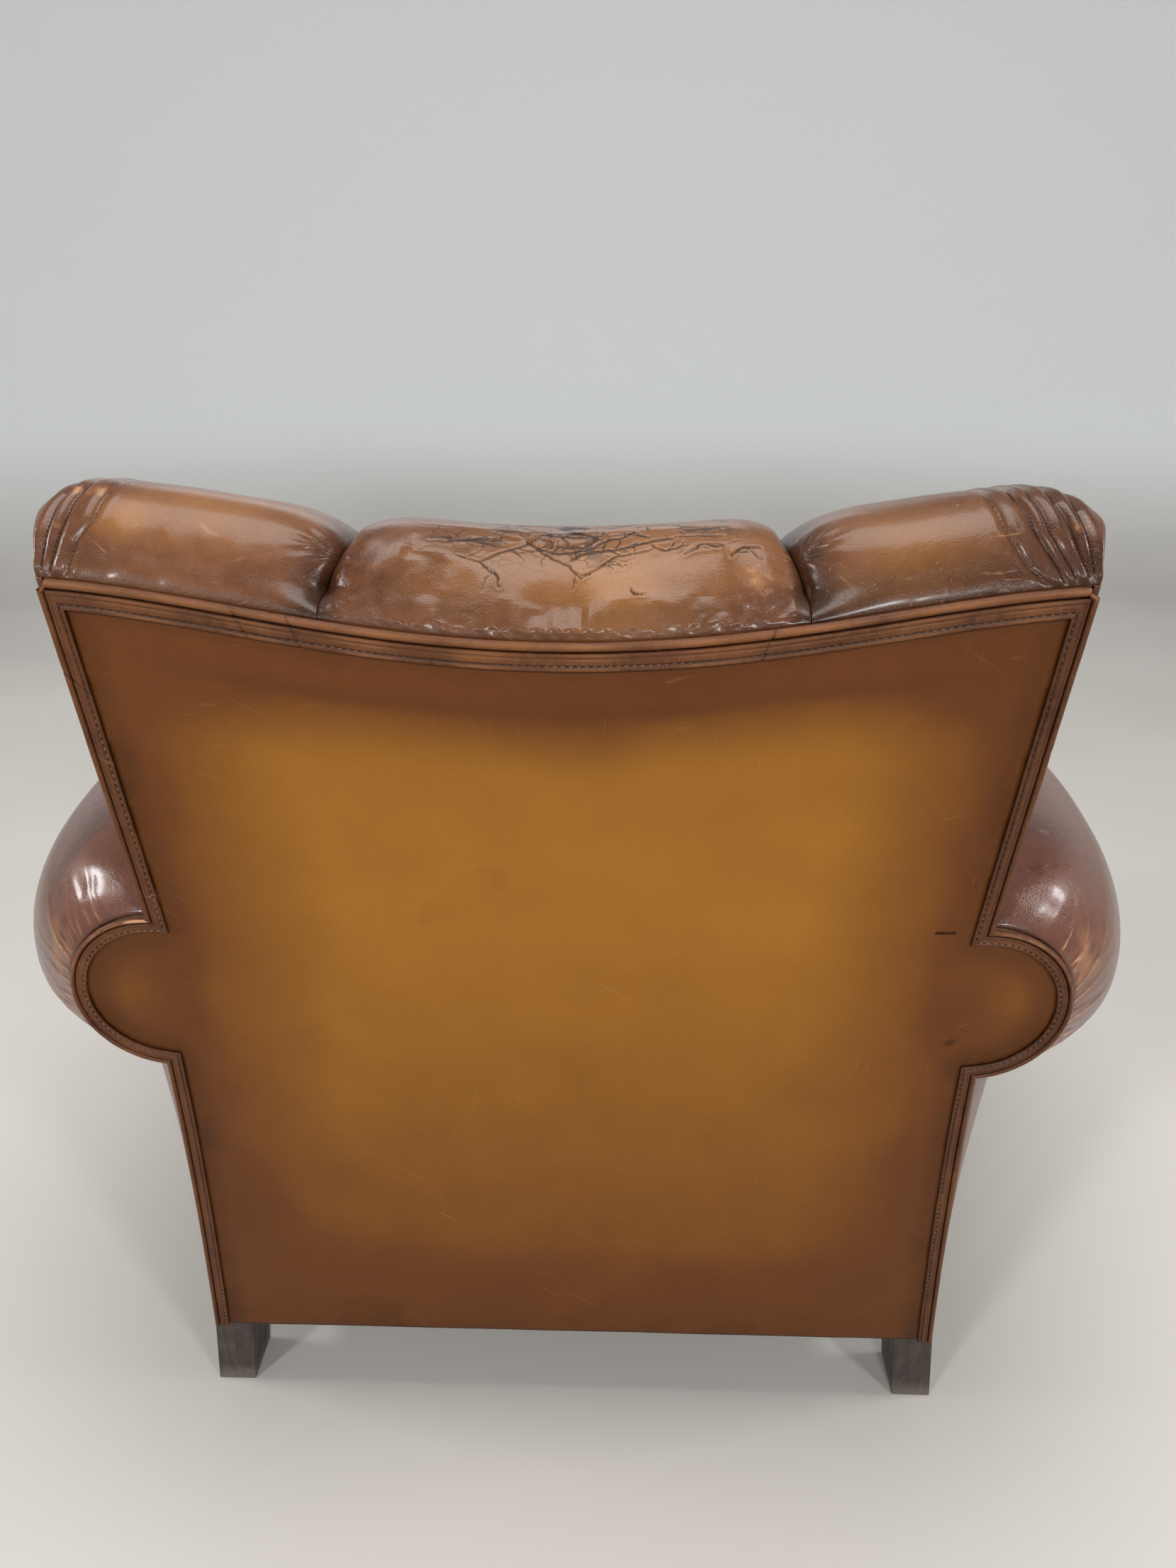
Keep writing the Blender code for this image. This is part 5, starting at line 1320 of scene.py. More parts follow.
# %% Rules for wear
def puckers(along, aside, reach, count, seed):
    """Creases that fan out from a point, from -1 to 1, fading with distance."""
    angle = np.arctan2(aside, along)
    far = np.hypot(along, aside)
    draw = np.random.default_rng(seed)
    shift = draw.uniform(0, math.tau)
    wave = np.sin(angle * count + shift + 0.7 * np.sin(angle * 2.3 + shift))
    return (np.abs(wave) ** 0.7 * np.sign(wave)) * np.exp(-(far / reach) ** 2) * smooth(0.001, 0.010, far)


def wandering(start, heading, length, draw, step=0.0005):
    """A crack's line, from a start in metres across and along, with a few changes of mind."""
    place, turn, line = np.array(start, float), heading, [np.array(start, float)]
    for _ in range(int(length / step)):
        turn += draw.normal(0, 0.16) + 0.04 * (heading - turn)
        place = place + step * np.array([math.cos(turn), math.sin(turn)])
        line.append(place)
    return np.array(line)


def worn_line(corners, draw, step=0.0005):
    """A crack through given places, ragged between them."""
    corners = np.array(corners, float)
    length = run_along(corners)
    run = np.arange(0, length[-1], step)
    line = np.stack([np.interp(run, length, corners[:, axis]) for axis in (0, 1)], -1)
    ragged = np.cumsum(draw.normal(0, 1.0, (len(run), 2)), 0) * 0.00016
    return line + ragged - np.linspace(0, 1, len(run))[:, None] * ragged[-1]


def near_line(grid, line):
    """Distance of each flat point of a grid from a line, and how far along it the nearest place is."""
    flat = grid.reshape(-1, 2)
    low, high = line.min(0) - 0.012, line.max(0) + 0.012
    close = ((flat > low) & (flat < high)).all(1)
    best, share = np.full(len(flat), 1.0), np.zeros(len(flat))
    some = flat[close]
    gaps = np.hypot(*(some[:, None, :] - line[None, :, :]).transpose(2, 0, 1))
    if len(some):
        best[close] = gaps.min(1)
        share[close] = gaps.argmin(1) / max(1, len(line) - 1)
    return best.reshape(grid.shape[:-1]), share.reshape(grid.shape[:-1])


# %% Form of the middle pad
SHRINK = 0.0065
spread = np.concatenate([-1 + 0.14 * np.linspace(0, 1, 34)[:-1] ** 1.2, np.linspace(-0.86, 0.80, 410),
                         1 - 0.20 * np.linspace(1, 0, 40)[1:] ** 1.2])
lines = pad_lines(spread * SEAM_TOP, V_STEPS)
V = V_STEPS[None, :] + 0 * spread[:, None]
across_m = spread[:, None] * SEAM_TOP + 0 * V
along_m = run_along(lines[240])[None, :] + 0 * V
from_seam = SEAM_TOP - np.abs(across_m)
lines = drawn_in(lines, rounding(from_seam, 0.044, 0.0215) + SHRINK, V)
rings = []
for share, line in zip(spread, lines):
    x_front = share * (pad_seam(line[:, 1], V_STEPS) - GAP)
    rings.append(ring_of(line, x_front, lambda z, s=share: s * (pad_seam(z) - GAP),
                         top_edge(share * SEAM_TOP) - FRAME_EDGE))
rings = filled(np.array(rings), smooth(0.0, 0.010, from_seam) * smooth(0.0, 0.06, V))
front = rings[:, :VISIBLE]
out = surface_out(front)
loose = smooth(0.02, 0.25, V) * smooth(0.0, 0.012, from_seam)
lift = 0.0006 * ripple(front, 0.11, 51) * loose
slant = across_m * 0.94 + along_m * 0.34
waves = np.sin(slant / 0.0230 * math.tau + 0.9 * ripple(front, 0.09, 52))
lift += 0.0005 * waves * hump(across_m, 0.090, 0.040) * hump(V, 0.55, 0.34) * loose
for side in (1, -1):
    lift += 0.0005 * puckers(along_m - 0.052, SEAM_TOP - side * across_m, 0.014, 9, 54 + side) * loose
for at, strength in ((0.083, 1.0), (-0.057, 0.8), (-0.128, 1.0)):
    lift += 0.0007 * strength * hump(across_m, at, 0.016) * hump(V, 0.20, 0.12) * loose
print("middle pad: a net of %d by %d places" % rings.shape[:2])

# %% Cracks of the middle pad
# The large cracks: each has about its half-width in millimetres, and the places it goes through
# in metres across the pad and along it from the band. Smaller ones branch off by chance.
CRACKS = (
    (0.60, ((0.026, 0.078), (0.018, 0.072), (0.006, 0.068), (-0.007, 0.070), (-0.018, 0.076),
            (-0.029, 0.086), (-0.041, 0.091), (-0.060, 0.099))),
    (0.65, ((-0.004, 0.062), (-0.010, 0.068), (-0.021, 0.070), (-0.034, 0.072), (-0.050, 0.076),
            (-0.071, 0.078))),
    (0.42, ((-0.010, 0.045), (-0.022, 0.054), (-0.031, 0.063), (-0.040, 0.065), (-0.056, 0.070))),
    (0.36, ((0.022, 0.075), (0.009, 0.065), (-0.003, 0.056), (-0.010, 0.045))),
    (0.45, ((0.053, 0.056), (0.043, 0.066), (0.029, 0.073), (0.018, 0.082))),
    (0.34, ((0.069, 0.059), (0.053, 0.056), (0.043, 0.045), (0.040, 0.035))),
    (0.48, ((-0.104, 0.053), (-0.112, 0.059), (-0.124, 0.059))),
    (0.34, ((-0.041, 0.035), (-0.042, 0.032), (-0.044, 0.029))),
    (0.40, ((-0.056, 0.074), (-0.063, 0.066), (-0.079, 0.069))),
    (0.36, ((-0.076, 0.060), (-0.088, 0.066), (-0.100, 0.062))),
    (0.40, ((0.090, 0.069), (0.078, 0.071), (0.060, 0.079), (0.043, 0.080))),
    (0.50, ((0.050, 0.088), (0.033, 0.085), (0.015, 0.090), (-0.010, 0.086), (-0.033, 0.094))),
    (0.34, ((-0.070, 0.080), (-0.085, 0.076), (-0.105, 0.073))))
flat_place = np.stack([across_m, along_m], -1)
draw = np.random.default_rng(57)
lines_of_cracks = []
for wide, corners in CRACKS:
    main = worn_line(corners, draw)
    lines_of_cracks.append((wide, main))
    for _ in range(max(2, len(main) // 26)):
        at = draw.integers(4, len(main) - 4)
        heading = math.atan2(*(main[at + 3] - main[at - 3])[::-1])
        heading = heading + draw.choice([-1, 1]) * draw.uniform(0.5, 1.1)
        branch = wandering(main[at], heading, draw.uniform(0.006, 0.018), draw)
        lines_of_cracks.append((wide * 0.50, branch))
torn = np.zeros_like(V)
for wide, line in lines_of_cracks:
    gap, share = near_line(flat_place, line)
    thin = 0.001 * wide * (0.45 + 0.55 * np.sin(np.clip(share, 0.03, 0.97) * math.pi))
    torn = np.maximum(torn, np.clip(1.0 - gap / (2.2 * thin + 0.0002), 0, 1))
    lift += (-0.0007 * wide / 0.6 * np.exp(-(gap / (thin + 0.0005)) ** 2)
             + 0.0003 * wide * hump(gap, 0.0022, 0.0014))
print("cracks:", len(lines_of_cracks))
crest_crazed = hump(V, 1.02, 0.42) * smooth(-0.140, -0.095, across_m) * smooth(0.135, 0.060, across_m)
crest_crazed *= 0.62 + 0.35 * ripple(front, 0.06, 56)
flake = hump(across_m, 0.026, 0.018) * hump(along_m, 0.083, 0.0035)
lift += 0.0038 * flake * (0.55 + 0.6 * ripple(front, 0.012, 58))
front = front + out * lift[..., None]
rings[:, :VISIBLE] = front

# %% Paint of the middle pad
tan_paint = spots(front, [(-0.028, 0.403, 0.746, 0.038, 0.80), (0.045, 0.400, 0.750, 0.036, 0.42),
                          (-0.085, 0.395, 0.757, 0.036, 0.40), (0.095, 0.400, 0.752, 0.030, 0.18),
                          (-0.055, 0.365, 0.765, 0.040, 0.12), (0.035, 0.370, 0.764, 0.040, 0.10)])
tan_paint += 0.35 * smooth(1.3, 2.2, V) * hump(across_m, 0, 0.10)
# Dirt and painted shade: darker in the hollows along the seams, just above the band and down where the pad
# meets the seat; the lower part and the middle of the crest are darker too.
dark_paint = 0.55 * smooth(0.016, 0.0, from_seam) + 0.30 * hump(V, 0.20, 0.16) + 0.25 * smooth(0.10, 0.0, V)
dark_paint += 0.26 * hump(V, 1.0, 0.25) * hump(across_m, 0.02, 0.09) + 0.5 * smooth(2.6, 3.0, V)
pale_paint = (0.22 * hump(V, 0.13, 0.09) + 0.55 * flake
              + 0.55 * hump(across_m, -0.118, 0.018) * hump(V, 0.40, 0.22))
pad = close_rings("middle_back_pad", rings, BROWN_HIDE, pad_marks(rings, {
    "tan": tan_paint, "dark": dark_paint, "pale": pale_paint, "crack": crest_crazed, "split": torn}))
tidy(pad)
fit(pad, "brown_hide", "back_pad_middle")

# %% Form of the outer pads
OUTER_WIDTH = TOP_CORNER[0] - SEAM_TOP
SEAM_DEPTH = {1: 0.0205, -1: 0.0225}
ROUNDED_END = {1: (0.036, 0.022), -1: (0.044, 0.028)}


def outer_form(side):
    """Rings of an outer pad, and for each place how far along, across, off the seam and off the band."""
    spread = np.concatenate([0.5 - 0.5 * np.cos(np.linspace(0, 1, 60) * math.pi * 0.5),
                             np.linspace(0.5, 1.0, 96)[1:]])
    lines = pad_lines(mix(SEAM_TOP, TOP_CORNER[0], spread), V_STEPS)
    V = V_STEPS[None, :] + 0 * spread[:, None]
    from_seam = spread[:, None] * OUTER_WIDTH + 0 * V
    from_end = (1 - spread[:, None]) * OUTER_WIDTH + 0 * V
    along_m = run_along(lines[80])[None, :] + 0 * V
    lines = drawn_in(lines, rounding(from_seam, 0.046, SEAM_DEPTH[side]), V)
    end_width, end_depth = ROUNDED_END[side]
    lines = drawn_in(lines, rounding(from_end, end_width, end_depth) * smooth(0.20, 1.05, V) + SHRINK, V)
    rings = []
    for share, line in zip(spread, lines):
        x_front = mix(pad_seam(line[:, 1], V_STEPS) + GAP, pad_outer(line[:, 0], line[:, 1]), share)

        def hidden(z, s=share):
            post = side_edge(z / math.cos(RAKE)) - FRAME_EDGE - 0.0005
            return mix(pad_seam(z) + GAP, mix(PAD_HALF, post, smooth(ARM_Z, ARM_Z + CREST_DEPTH, z)), s)

        up_top = top_edge(mix(SEAM_TOP, TOP_CORNER[0], share)) - FRAME_EDGE
        rings.append(ring_of(line, x_front, hidden, up_top))
    last = lines[-1]
    rear_z = mix(last[0, 1], PAD_BOTTOM, np.clip((V_STEPS - 0.9) / 2.1, 0, 1))
    above_arm = smooth(ARM_Z + 0.02, ARM_Z + 0.05, rear_z)
    rear = np.stack([back_y(rear_z, mix(FRAME_FAR, TIMBER_NEAR, above_arm)), rear_z], -1)
    rear[0] = last[0]
    turns = np.array([0.04, 0.09, 0.15, 0.21, 0.28, 0.36, 0.45, 0.54, 0.63, 0.72, 0.81, 0.90, 1.0])
    for t in turns:
        line = mix(last, rear, t)
        ring = rings[len(spread) - 1].copy()
        ring[:VISIBLE] = np.stack([pad_outer(line[:, 0], line[:, 1]), line[:, 0], line[:, 1]], -1)
        rings.append(ring)
    for tuck, nearer in ((0.0006, 0.0018), (0.0020, 0.0026), (0.0042, 0.0016)):
        ring = rings[-1].copy()
        place = pad_outer(rear[:, 0], rear[:, 1]) - tuck * above_arm
        ring[:VISIBLE] = np.stack([place, rear[:, 0] + nearer * above_arm, rear[:, 1]], -1)
        rings.append(ring)
    turns = np.concatenate([turns, [1.01, 1.02, 1.03]])
    rings = np.array(rings)
    V = V_STEPS[None, :] + 0 * rings[:, :VISIBLE, 0]
    share = np.concatenate([spread, 1 + turns])[:, None] + 0 * V
    wide = np.concatenate([from_seam, OUTER_WIDTH + 0.08 * turns[:, None] + 0 * V[-len(turns):]])
    return rings, V, share, wide, along_m[:1] + 0 * V


# %% Pleats and dimples of the outer pads
# Each pleat goes through places given by a share across the pad and one along its column. Each
# dimple has a share across the pad and a strength.
PLEATS = {1: (((0.76, 0.75), (0.79, 0.48), (0.85, 0.29), (0.89, 0.03)),
              ((0.85, 0.75), (0.88, 0.52), (0.92, 0.29), (0.95, 0.03)),
              ((0.90, 0.75), (0.93, 0.52), (0.96, 0.29), (0.98, 0.03))),
          -1: (((0.63, 0.83), (0.66, 0.48), (0.75, 0.16), (0.82, 0.02)),
               ((0.71, 0.78), (0.76, 0.44), (0.85, 0.14), (0.88, 0.02)),
               ((0.76, 0.78), (0.81, 0.43), (0.89, 0.14), (0.92, 0.02)),
               ((0.83, 0.70), (0.90, 0.36), (0.94, 0.14), (0.96, 0.02)),
               ((0.90, 0.62), (0.95, 0.30), (0.97, 0.14), (0.98, 0.02)))}
DIMPLES = {1: ((0.16, 0.5), (0.27, 0.8), (0.50, 1.0), (0.68, 1.0)), -1: ((0.30, 0.4), (0.62, 0.8))}


def pleated(side, front, V, share, lift):
    """The lift with pleats and dimples added; where each pleat's ridge is rubbed and has a painted highlight,
    the painted shadows in its crease, and the painted shade on one side of it.
    """
    ridge_wear_and_highlight, shadows, pleat_side_shade = 0 * V, 0 * V, 0 * V
    for number, crease in enumerate(PLEATS[side]):
        at_share, at_v = np.array(crease)[::-1].T
        at = np.interp(V, at_v, at_share) - 0.05 * smooth(0.8, 2.0, V)
        offset = (share - at) * OUTER_WIDTH + 0.0003 * ripple(front, 0.03, 90 + number)
        strong = smooth(0.0, 0.06, V) * smooth(1.6, 0.85, V) * (1.0 if number else 0.8)
        valley = np.exp(-np.abs(offset) / 0.0016)
        lift += strong * (-0.0024 * valley + 0.0014 * hump(offset, 0.0050, 0.0038))
        lift += strong * 0.0005 * hump(offset, -0.0040, 0.0026)
        # Each pleat: a painted highlight on the ridge beside its crease, a painted shadow in the crease, and
        # painted shade on one side of it.
        ridge_wear_and_highlight = np.maximum(ridge_wear_and_highlight, strong * hump(offset, 0.0026, 0.0012))
        shadows = np.maximum(shadows, strong * np.clip(1.1 - np.abs(offset) / 0.0013, 0, 1))
        pleat_side_shade = np.maximum(pleat_side_shade, strong * smooth(-0.002, 0.001, offset) * 0.5)
    wall_share = smooth(1.0, 1.1, share) * smooth(2.0, 1.9, share)
    lift += 0.0004 * np.sin(share * 26) * wall_share * smooth(0.1, 0.4, V) * smooth(1.7, 1.0, V)
    for at, strength in DIMPLES[side]:
        lift += 0.0011 * strength * hump(share, at, 0.045) * hump(V, 0.25, 0.15)
        lift += -0.0008 * strength * hump(share, at + 0.065, 0.022) * hump(V, 0.27, 0.20)
    return lift, ridge_wear_and_highlight, shadows, pleat_side_shade


# %% Paint of the outer pads
def outer_paint(side, front, V, share, wide, ridge_wear_and_highlight, pleat_side_shade):
    """Where an outer pad is rubbed to tan, darkened by dirt and painted shade, and rubbed pale or given a
    painted highlight.
    """
    if side > 0:
        tan_paint = spots(front, [(0.264, 0.403, 0.780, 0.016, 0.70), (0.216, 0.380, 0.786, 0.040, 0.26),
                                  (0.181, 0.351, 0.782, 0.045, 0.24), (0.210, 0.400, 0.772, 0.030, 0.12),
                                  (0.245, 0.385, 0.786, 0.030, 0.15)])
        dark_paint = 0.06 + 0.20 * hump(V, 0.18, 0.16)
        pale_paint = spots(front, [(0.295, 0.385, 0.796, 0.008, 1.2), (0.282, 0.385, 0.794, 0.007, 0.9)])
        pale_paint += 0.16 * hump(V, 0.20, 0.12)
    else:
        tan_paint = spots(front, [(0.198, 0.409, 0.764, 0.030, 0.42), (0.222, 0.402, 0.774, 0.030, 0.32),
                                  (0.250, 0.395, 0.782, 0.025, 0.12), (0.175, 0.385, 0.772, 0.030, 0.14)])
        dark_paint = 0.28 + 0.22 * hump(V, 0.16, 0.14)
        pale_paint = spots(front, [(0.306, 0.405, 0.778, 0.010, 0.5), (0.265, 0.400, 0.784, 0.007, 0.4)])
        pale_paint += 0.45 * hump(wide, 0.0016, 0.0016) * hump(V, 0.35, 0.22)
        pale_paint += 0.30 * hump(share, 0.64, 0.07) * hump(V, 0.30, 0.16)
    tan_paint += 0.35 * smooth(1.3, 2.2, V) * hump(wide, 0.08, 0.06)
    # Dirt and painted shade: darker in the hollow by the seam, just above the band, beside each pleat and
    # down where the pad meets the seat.
    dark_paint = dark_paint + 0.50 * smooth(0.024, 0.002, wide) + 0.25 * smooth(0.10, 0.0, V) + 0.30 * pleat_side_shade
    dark_paint = dark_paint + 0.5 * smooth(2.6, 3.0, V)
    # Rubbed pale, with a painted highlight on each pleat's ridge.
    pale_paint = (pale_paint + 0.30 * np.clip(ridge_wear_and_highlight, 0, 1) * hump(V, 0.75, 0.5)
                  + 0.25 * hump(wide, 0.009, 0.004) * hump(V, 0.4, 0.3))
    return {"tan": tan_paint, "dark": dark_paint, "pale": pale_paint}


# %% The outer pads
for side, hand in HANDS.items():
    rings, V, share, wide, along_m = outer_form(side)
    rings = filled(rings, smooth(0.0, 0.010, wide) * smooth(0.0, 0.06, V) * smooth(1.10, 0.90, share))
    front = rings[:, :VISIBLE]
    out = surface_out(front)
    loose = smooth(0.02, 0.22, V) * smooth(0.0, 0.010, wide) * smooth(2.0, 1.95, share)
    lift = 0.0008 * ripple(front * (side, 1, 1), 0.085, 61 + side) * loose
    lift, ridge_wear_and_highlight, shadows, pleat_side_shade = pleated(side, front, V, share, lift)
    lift += 0.0011 * puckers(along_m - 0.058, wide, 0.018, 11, 64 + side) * loose
    rings[:, :VISIBLE] = front + out * lift[..., None]
    rings = clear_of_arms(clear_of_frame(rings))
    marks = outer_paint(side, rings[:, :VISIBLE], V, share, wide, ridge_wear_and_highlight, pleat_side_shade)
    # The split mark here paints the shadows in the pleats' creases as dark lines.
    marks.update(crack=0.30 * hump(V, 1.1, 0.35) * hump(wide, 0.04, 0.05), split=0.62 * shadows)
    rings = rings * (side, 1, 1)
    pad = close_rings(hand + "_back_pad", rings, BROWN_HIDE, pad_marks(rings, marks))
    tidy(pad)
    fit(pad, "brown_hide", "back_pad_" + hand)

# %% [markdown]
# ## The arms
# Each arm is one hide that comes up from the seat, goes over the stuffed roll and is tacked
# under it. Its length is drawn in at both ends, to the round ear of the back and to the front
# facing, so the hide lies in small gathers there.

# %% Leather over the arm rolls
def arm_skin(y, t):
    """The arm's surface: t runs 0 to 1 up the inside, then to 2 over the roll and under it."""
    y, t = np.broadcast_arrays(y[:, None], t[None, :])
    centre_x, centre_z, radius, overhang = arm_roll(y)
    up_leg = np.stack([centre_x - radius, mix(DECK_TOP + GAP, centre_z, np.clip(t, 0, 1))], -1)
    start, end = math.pi, -np.arccos(overhang / radius)
    angle = mix(start, end, np.clip(t - 1, 0, 1))
    over = np.stack([centre_x + radius * np.cos(angle), centre_z + radius * np.sin(angle)], -1)
    flat = np.where(t[..., None] < 1, up_leg, over)
    way = np.stack([np.where(t < 1, -1.0, np.cos(angle)), np.where(t < 1, 0.0, np.sin(angle))], -1)
    x, z = flat[..., 0], flat[..., 1]
    points = np.stack([x, y + arm_lean(y) * (z - ARM_Z), z], -1)
    return points, way, angle


def fan_of_folds(angle, off_end, places, seed):
    """Small folds that run away from a gathered end: their height and their rubbed crests."""
    draw = np.random.default_rng(seed)
    height, crest = 0 * angle * off_end, 0 * angle * off_end
    for place in places:
        drift = draw.uniform(-0.1, 0.6)
        reach = draw.uniform(0.014, 0.036)
        strong = draw.uniform(0.35, 1.0)
        offset = 0.075 * (angle - place - draw.normal(0, 0.04) - drift * off_end / 0.04)
        fade = strong * np.exp(-(off_end / reach) ** 2) * smooth(-0.001, 0.002, off_end)
        height = height + fade * (hump(offset, 0, 0.0020) - 0.8 * hump(offset, 0.0032, 0.0019))
        crest = np.maximum(crest, fade * np.clip(1.2 - np.abs(offset) / 0.0015, 0, 1))
    return height, crest


# Angles round the roll, in radians, at which folds run away from the ear.
FOLDED = {1: [*np.arange(-0.85, 1.05, 0.085), 1.62, 1.78], -1: [*np.arange(-0.95, 0.75, 0.085), 1.70]}
AROUND = np.concatenate([np.linspace(0, 1, 20)[:-1], np.linspace(1, 1.42, 33)[:-1],
                         np.linspace(1.42, 1.90, 86)[:-1], np.linspace(1.90, 2, 9)])
near_ends = np.concatenate([0.0022 * np.arange(24), 0.053 + 0.0090 * np.arange(1, 200)])
length = ARM_REAR - FRONT_TIMBER
half_way = near_ends[near_ends < length / 2]
ALONG = np.concatenate([FRONT_TIMBER + half_way, (ARM_REAR - half_way)[::-1]])
for side in (1, -1):
    points, way, angle = arm_skin(ALONG, AROUND)
    from_rear = (ARM_REAR - ALONG)[:, None]
    from_front = (ALONG - FRONT_TIMBER)[:, None]
    folds = ripple(np.stack([angle * 0.08, from_rear * 0.25 + 0 * angle], -1), 0.011, 21 + side)
    gather = 0.0006 * folds * (np.exp(-from_rear / 0.020) * smooth(0, 0.006, from_rear)
                               + 2 * np.exp(-from_front / 0.016) * smooth(0, 0.004, from_front))
    heights, crests = fan_of_folds(angle, from_rear, FOLDED[side], 25 + side)
    gather = gather + 0.0012 * heights
    swell = 0.0016 * ripple(points, 0.12, 31 + side)
    swell = swell * smooth(0, 0.05, from_rear) * smooth(0, 0.04, from_front)
    swell = swell + (0.0065 * hump(angle, -0.45, 0.5)
                     * smooth(0.004, 0.05, from_rear) * smooth(0.0, 0.05, from_front))
    swell = swell + (0.0022 * ripple(points, 0.045, 35 + side)
                     * hump(from_rear, 0.020, 0.014) * hump(angle, 1.2, 0.7))
    out = (gather + swell) * (AROUND > 0.9)
    points[..., 0] += way[..., 0] * out
    points[..., 2] += way[..., 1] * out
    points = clear_of_frame(points) * (side, 1, 1)
    rubbed = 0.55 * hump(angle, 0.45, 0.30) * hump(from_rear, 0.012, 0.012)
    rubbed = rubbed * (0.5 + ripple(points, 0.022, 37 + side))
    # Dirt and painted shade: darker where the hide meets the ear, and painted shade under the roll.
    dirt_and_painted_shade = 0.45 * np.exp(-from_rear / 0.005) + 0.30 * smooth(-0.6, -1.2, angle) + 0 * angle
    arm = piece(HANDS[side] + "_arm_hide", points, weave(len(ALONG), len(AROUND)), ARM_HIDE, {
        "tan": np.clip(rubbed + 0.45 * crests, 0, 1), "dark": dirt_and_painted_shade, "pale": 1.1 * crests})
    tidy(arm, slivers=False)
    top = max(arm.data.polygons, key=lambda face: face.center.z)
    if top.normal.z < 0:
        arm.data.flip_normals()
    wall(arm)
    fit(arm, "brown_hide", "arm_leather_" + HANDS[side])

# %% Outside arms
def outside_arm(side):
    """A flat hide from the roll down to the lower rail."""
    rows = np.linspace(FRONT_TIMBER, ARM_REAR, 120)
    centre_x, centre_z, radius, overhang = arm_roll(rows)
    high = centre_z - np.sqrt(radius ** 2 - overhang ** 2) - 2 * GAP
    low = SKIRT * math.cos(RAKE)
    post_front = FRONT_TIMBER + 0.018 + GAP
    share = np.clip((rows - post_front) / (ARM_REAR - post_front), 0, None)
    low_x = mix(ARM_X + ARM_OVERHANG, BASE_HALF, share)
    down = np.linspace(0, 1, 48)
    z = mix(high[:, None], low, down[None, :])
    x = mix((centre_x + overhang)[:, None], low_x[:, None], down[None, :])
    points = np.stack([x, rows[:, None] + arm_lean(rows)[:, None] * (z - ARM_Z), z], -1)
    sag = 0.0012 * ripple(points, 0.20, 41 + side) * np.sin(down * math.pi)[None, :]
    off_front, off_rear = rows - FRONT_TIMBER, ARM_REAR - rows
    points[..., 0] += (np.minimum(sag, 0.001) * smooth(0, 0.03, off_front)[:, None]
                       * smooth(0, 0.03, off_rear)[:, None])
    return points * (side, 1, 1)


for side in (1, -1):
    points = outside_arm(side)
    # Darker towards the floor, and painted shade along the rear edge where the side meets the back.
    edge_dark = (0.5 * smooth(0.06, 0.0, points[..., 2] - 0.079)
                 + 0.4 * smooth(0.03, 0.0, 0.395 - points[..., 1]))
    gold = 0.5 * hump(points[..., 1], 0.0, 0.25) * hump(points[..., 2], 0.25, 0.09)
    arm_side = piece(HANDS[side] + "_outside_arm_hide", points, weave(*points.shape[:2]), BROWN_HIDE,
                     {"tan": gold, "dark": edge_dark})
    face_towards(arm_side, (side, 0, 0))
    wall(arm_side)
    fit(arm_side, "brown_hide", "outside_arm_" + HANDS[side])

# %% [markdown]
# ## The fronts of the arms
# The front of each arm is closed by a flat facing with piping round it. Piping is a strip of hide
# folded round a cord and follows a line, so Geometry Nodes make it: the line is divided evenly,
# nudged a little to be less than perfect, and a round section is led along it.

# %% A tree that leads a cord along a line
WELTS, WELT_KEYS, given, curve = line_tree("welt along a line", ("Radius", "Pitch", "Unevenness"), "Hide")
even = wire(WELTS, "GeometryNodeResampleCurve", {"Curve": curve, "Length": given["Pitch"]}, mode="LENGTH")
wobble = wire(WELTS, "ShaderNodeTexNoise", {"Scale": 24.0, "Detail": 2.0}).outputs["Color"]
nudge = vectors(WELTS, "SCALE", vectors(WELTS, "SUBTRACT", wobble, (0.5, 0.5, 0.5)), given["Unevenness"])
moved = wire(WELTS, "GeometryNodeSetPosition", {"Geometry": even.outputs[0], "Offset": nudge})
cord = wire(WELTS, "GeometryNodeCurvePrimitiveCircle", {"Resolution": 12, "Radius": given["Radius"]},
            mode="RADIUS")
led_along = wire(WELTS, "GeometryNodeCurveToMesh",
                 {"Curve": moved.outputs[0], "Profile Curve": cord.outputs[0], "Fill Caps": True})
real = wire(WELTS, "GeometryNodeRealizeInstances", {0: led_along.outputs[0]})
dressed_in(WELTS, real.outputs[0], given["Hide"])


def welt(name, line, closed=False, uneven=0.0012):
    """A piped cord along a line of points."""
    count = len(line)
    mesh = bpy.data.meshes.new(name + "_line")
    mesh.from_pydata(line.tolist(), [(i, (i + 1) % count) for i in range(count if closed else count - 1)], [])
    values = {"Radius": PIPING, "Pitch": 0.005, "Unevenness": uneven, "Hide": BAND_HIDE}
    return tidy(made_along(name, mesh, WELTS, WELT_KEYS, values))


# %% Arm facings and their piping
def facing_line(inset, pieces=61):
    """Outline of an arm's front, open at its foot: up the outside, over the roll, down the inside."""
    radius = FACING_ROLL - inset
    turn = np.linspace(-math.acos((ARM_OVERHANG - inset) / radius), math.pi, pieces)
    arc = np.stack([ARM_X + radius * np.cos(turn), ARM_Z + radius * np.sin(turn)], -1)
    outside = np.stack([np.full(24, arc[0, 0]), np.linspace(SKIRT, arc[0, 1], 25)[:-1]], -1)
    inner = np.stack([np.full(24, arc[-1, 0]), np.linspace(arc[-1, 1], SKIRT, 25)[1:]], -1)
    return np.concatenate([outside, arc, inner])


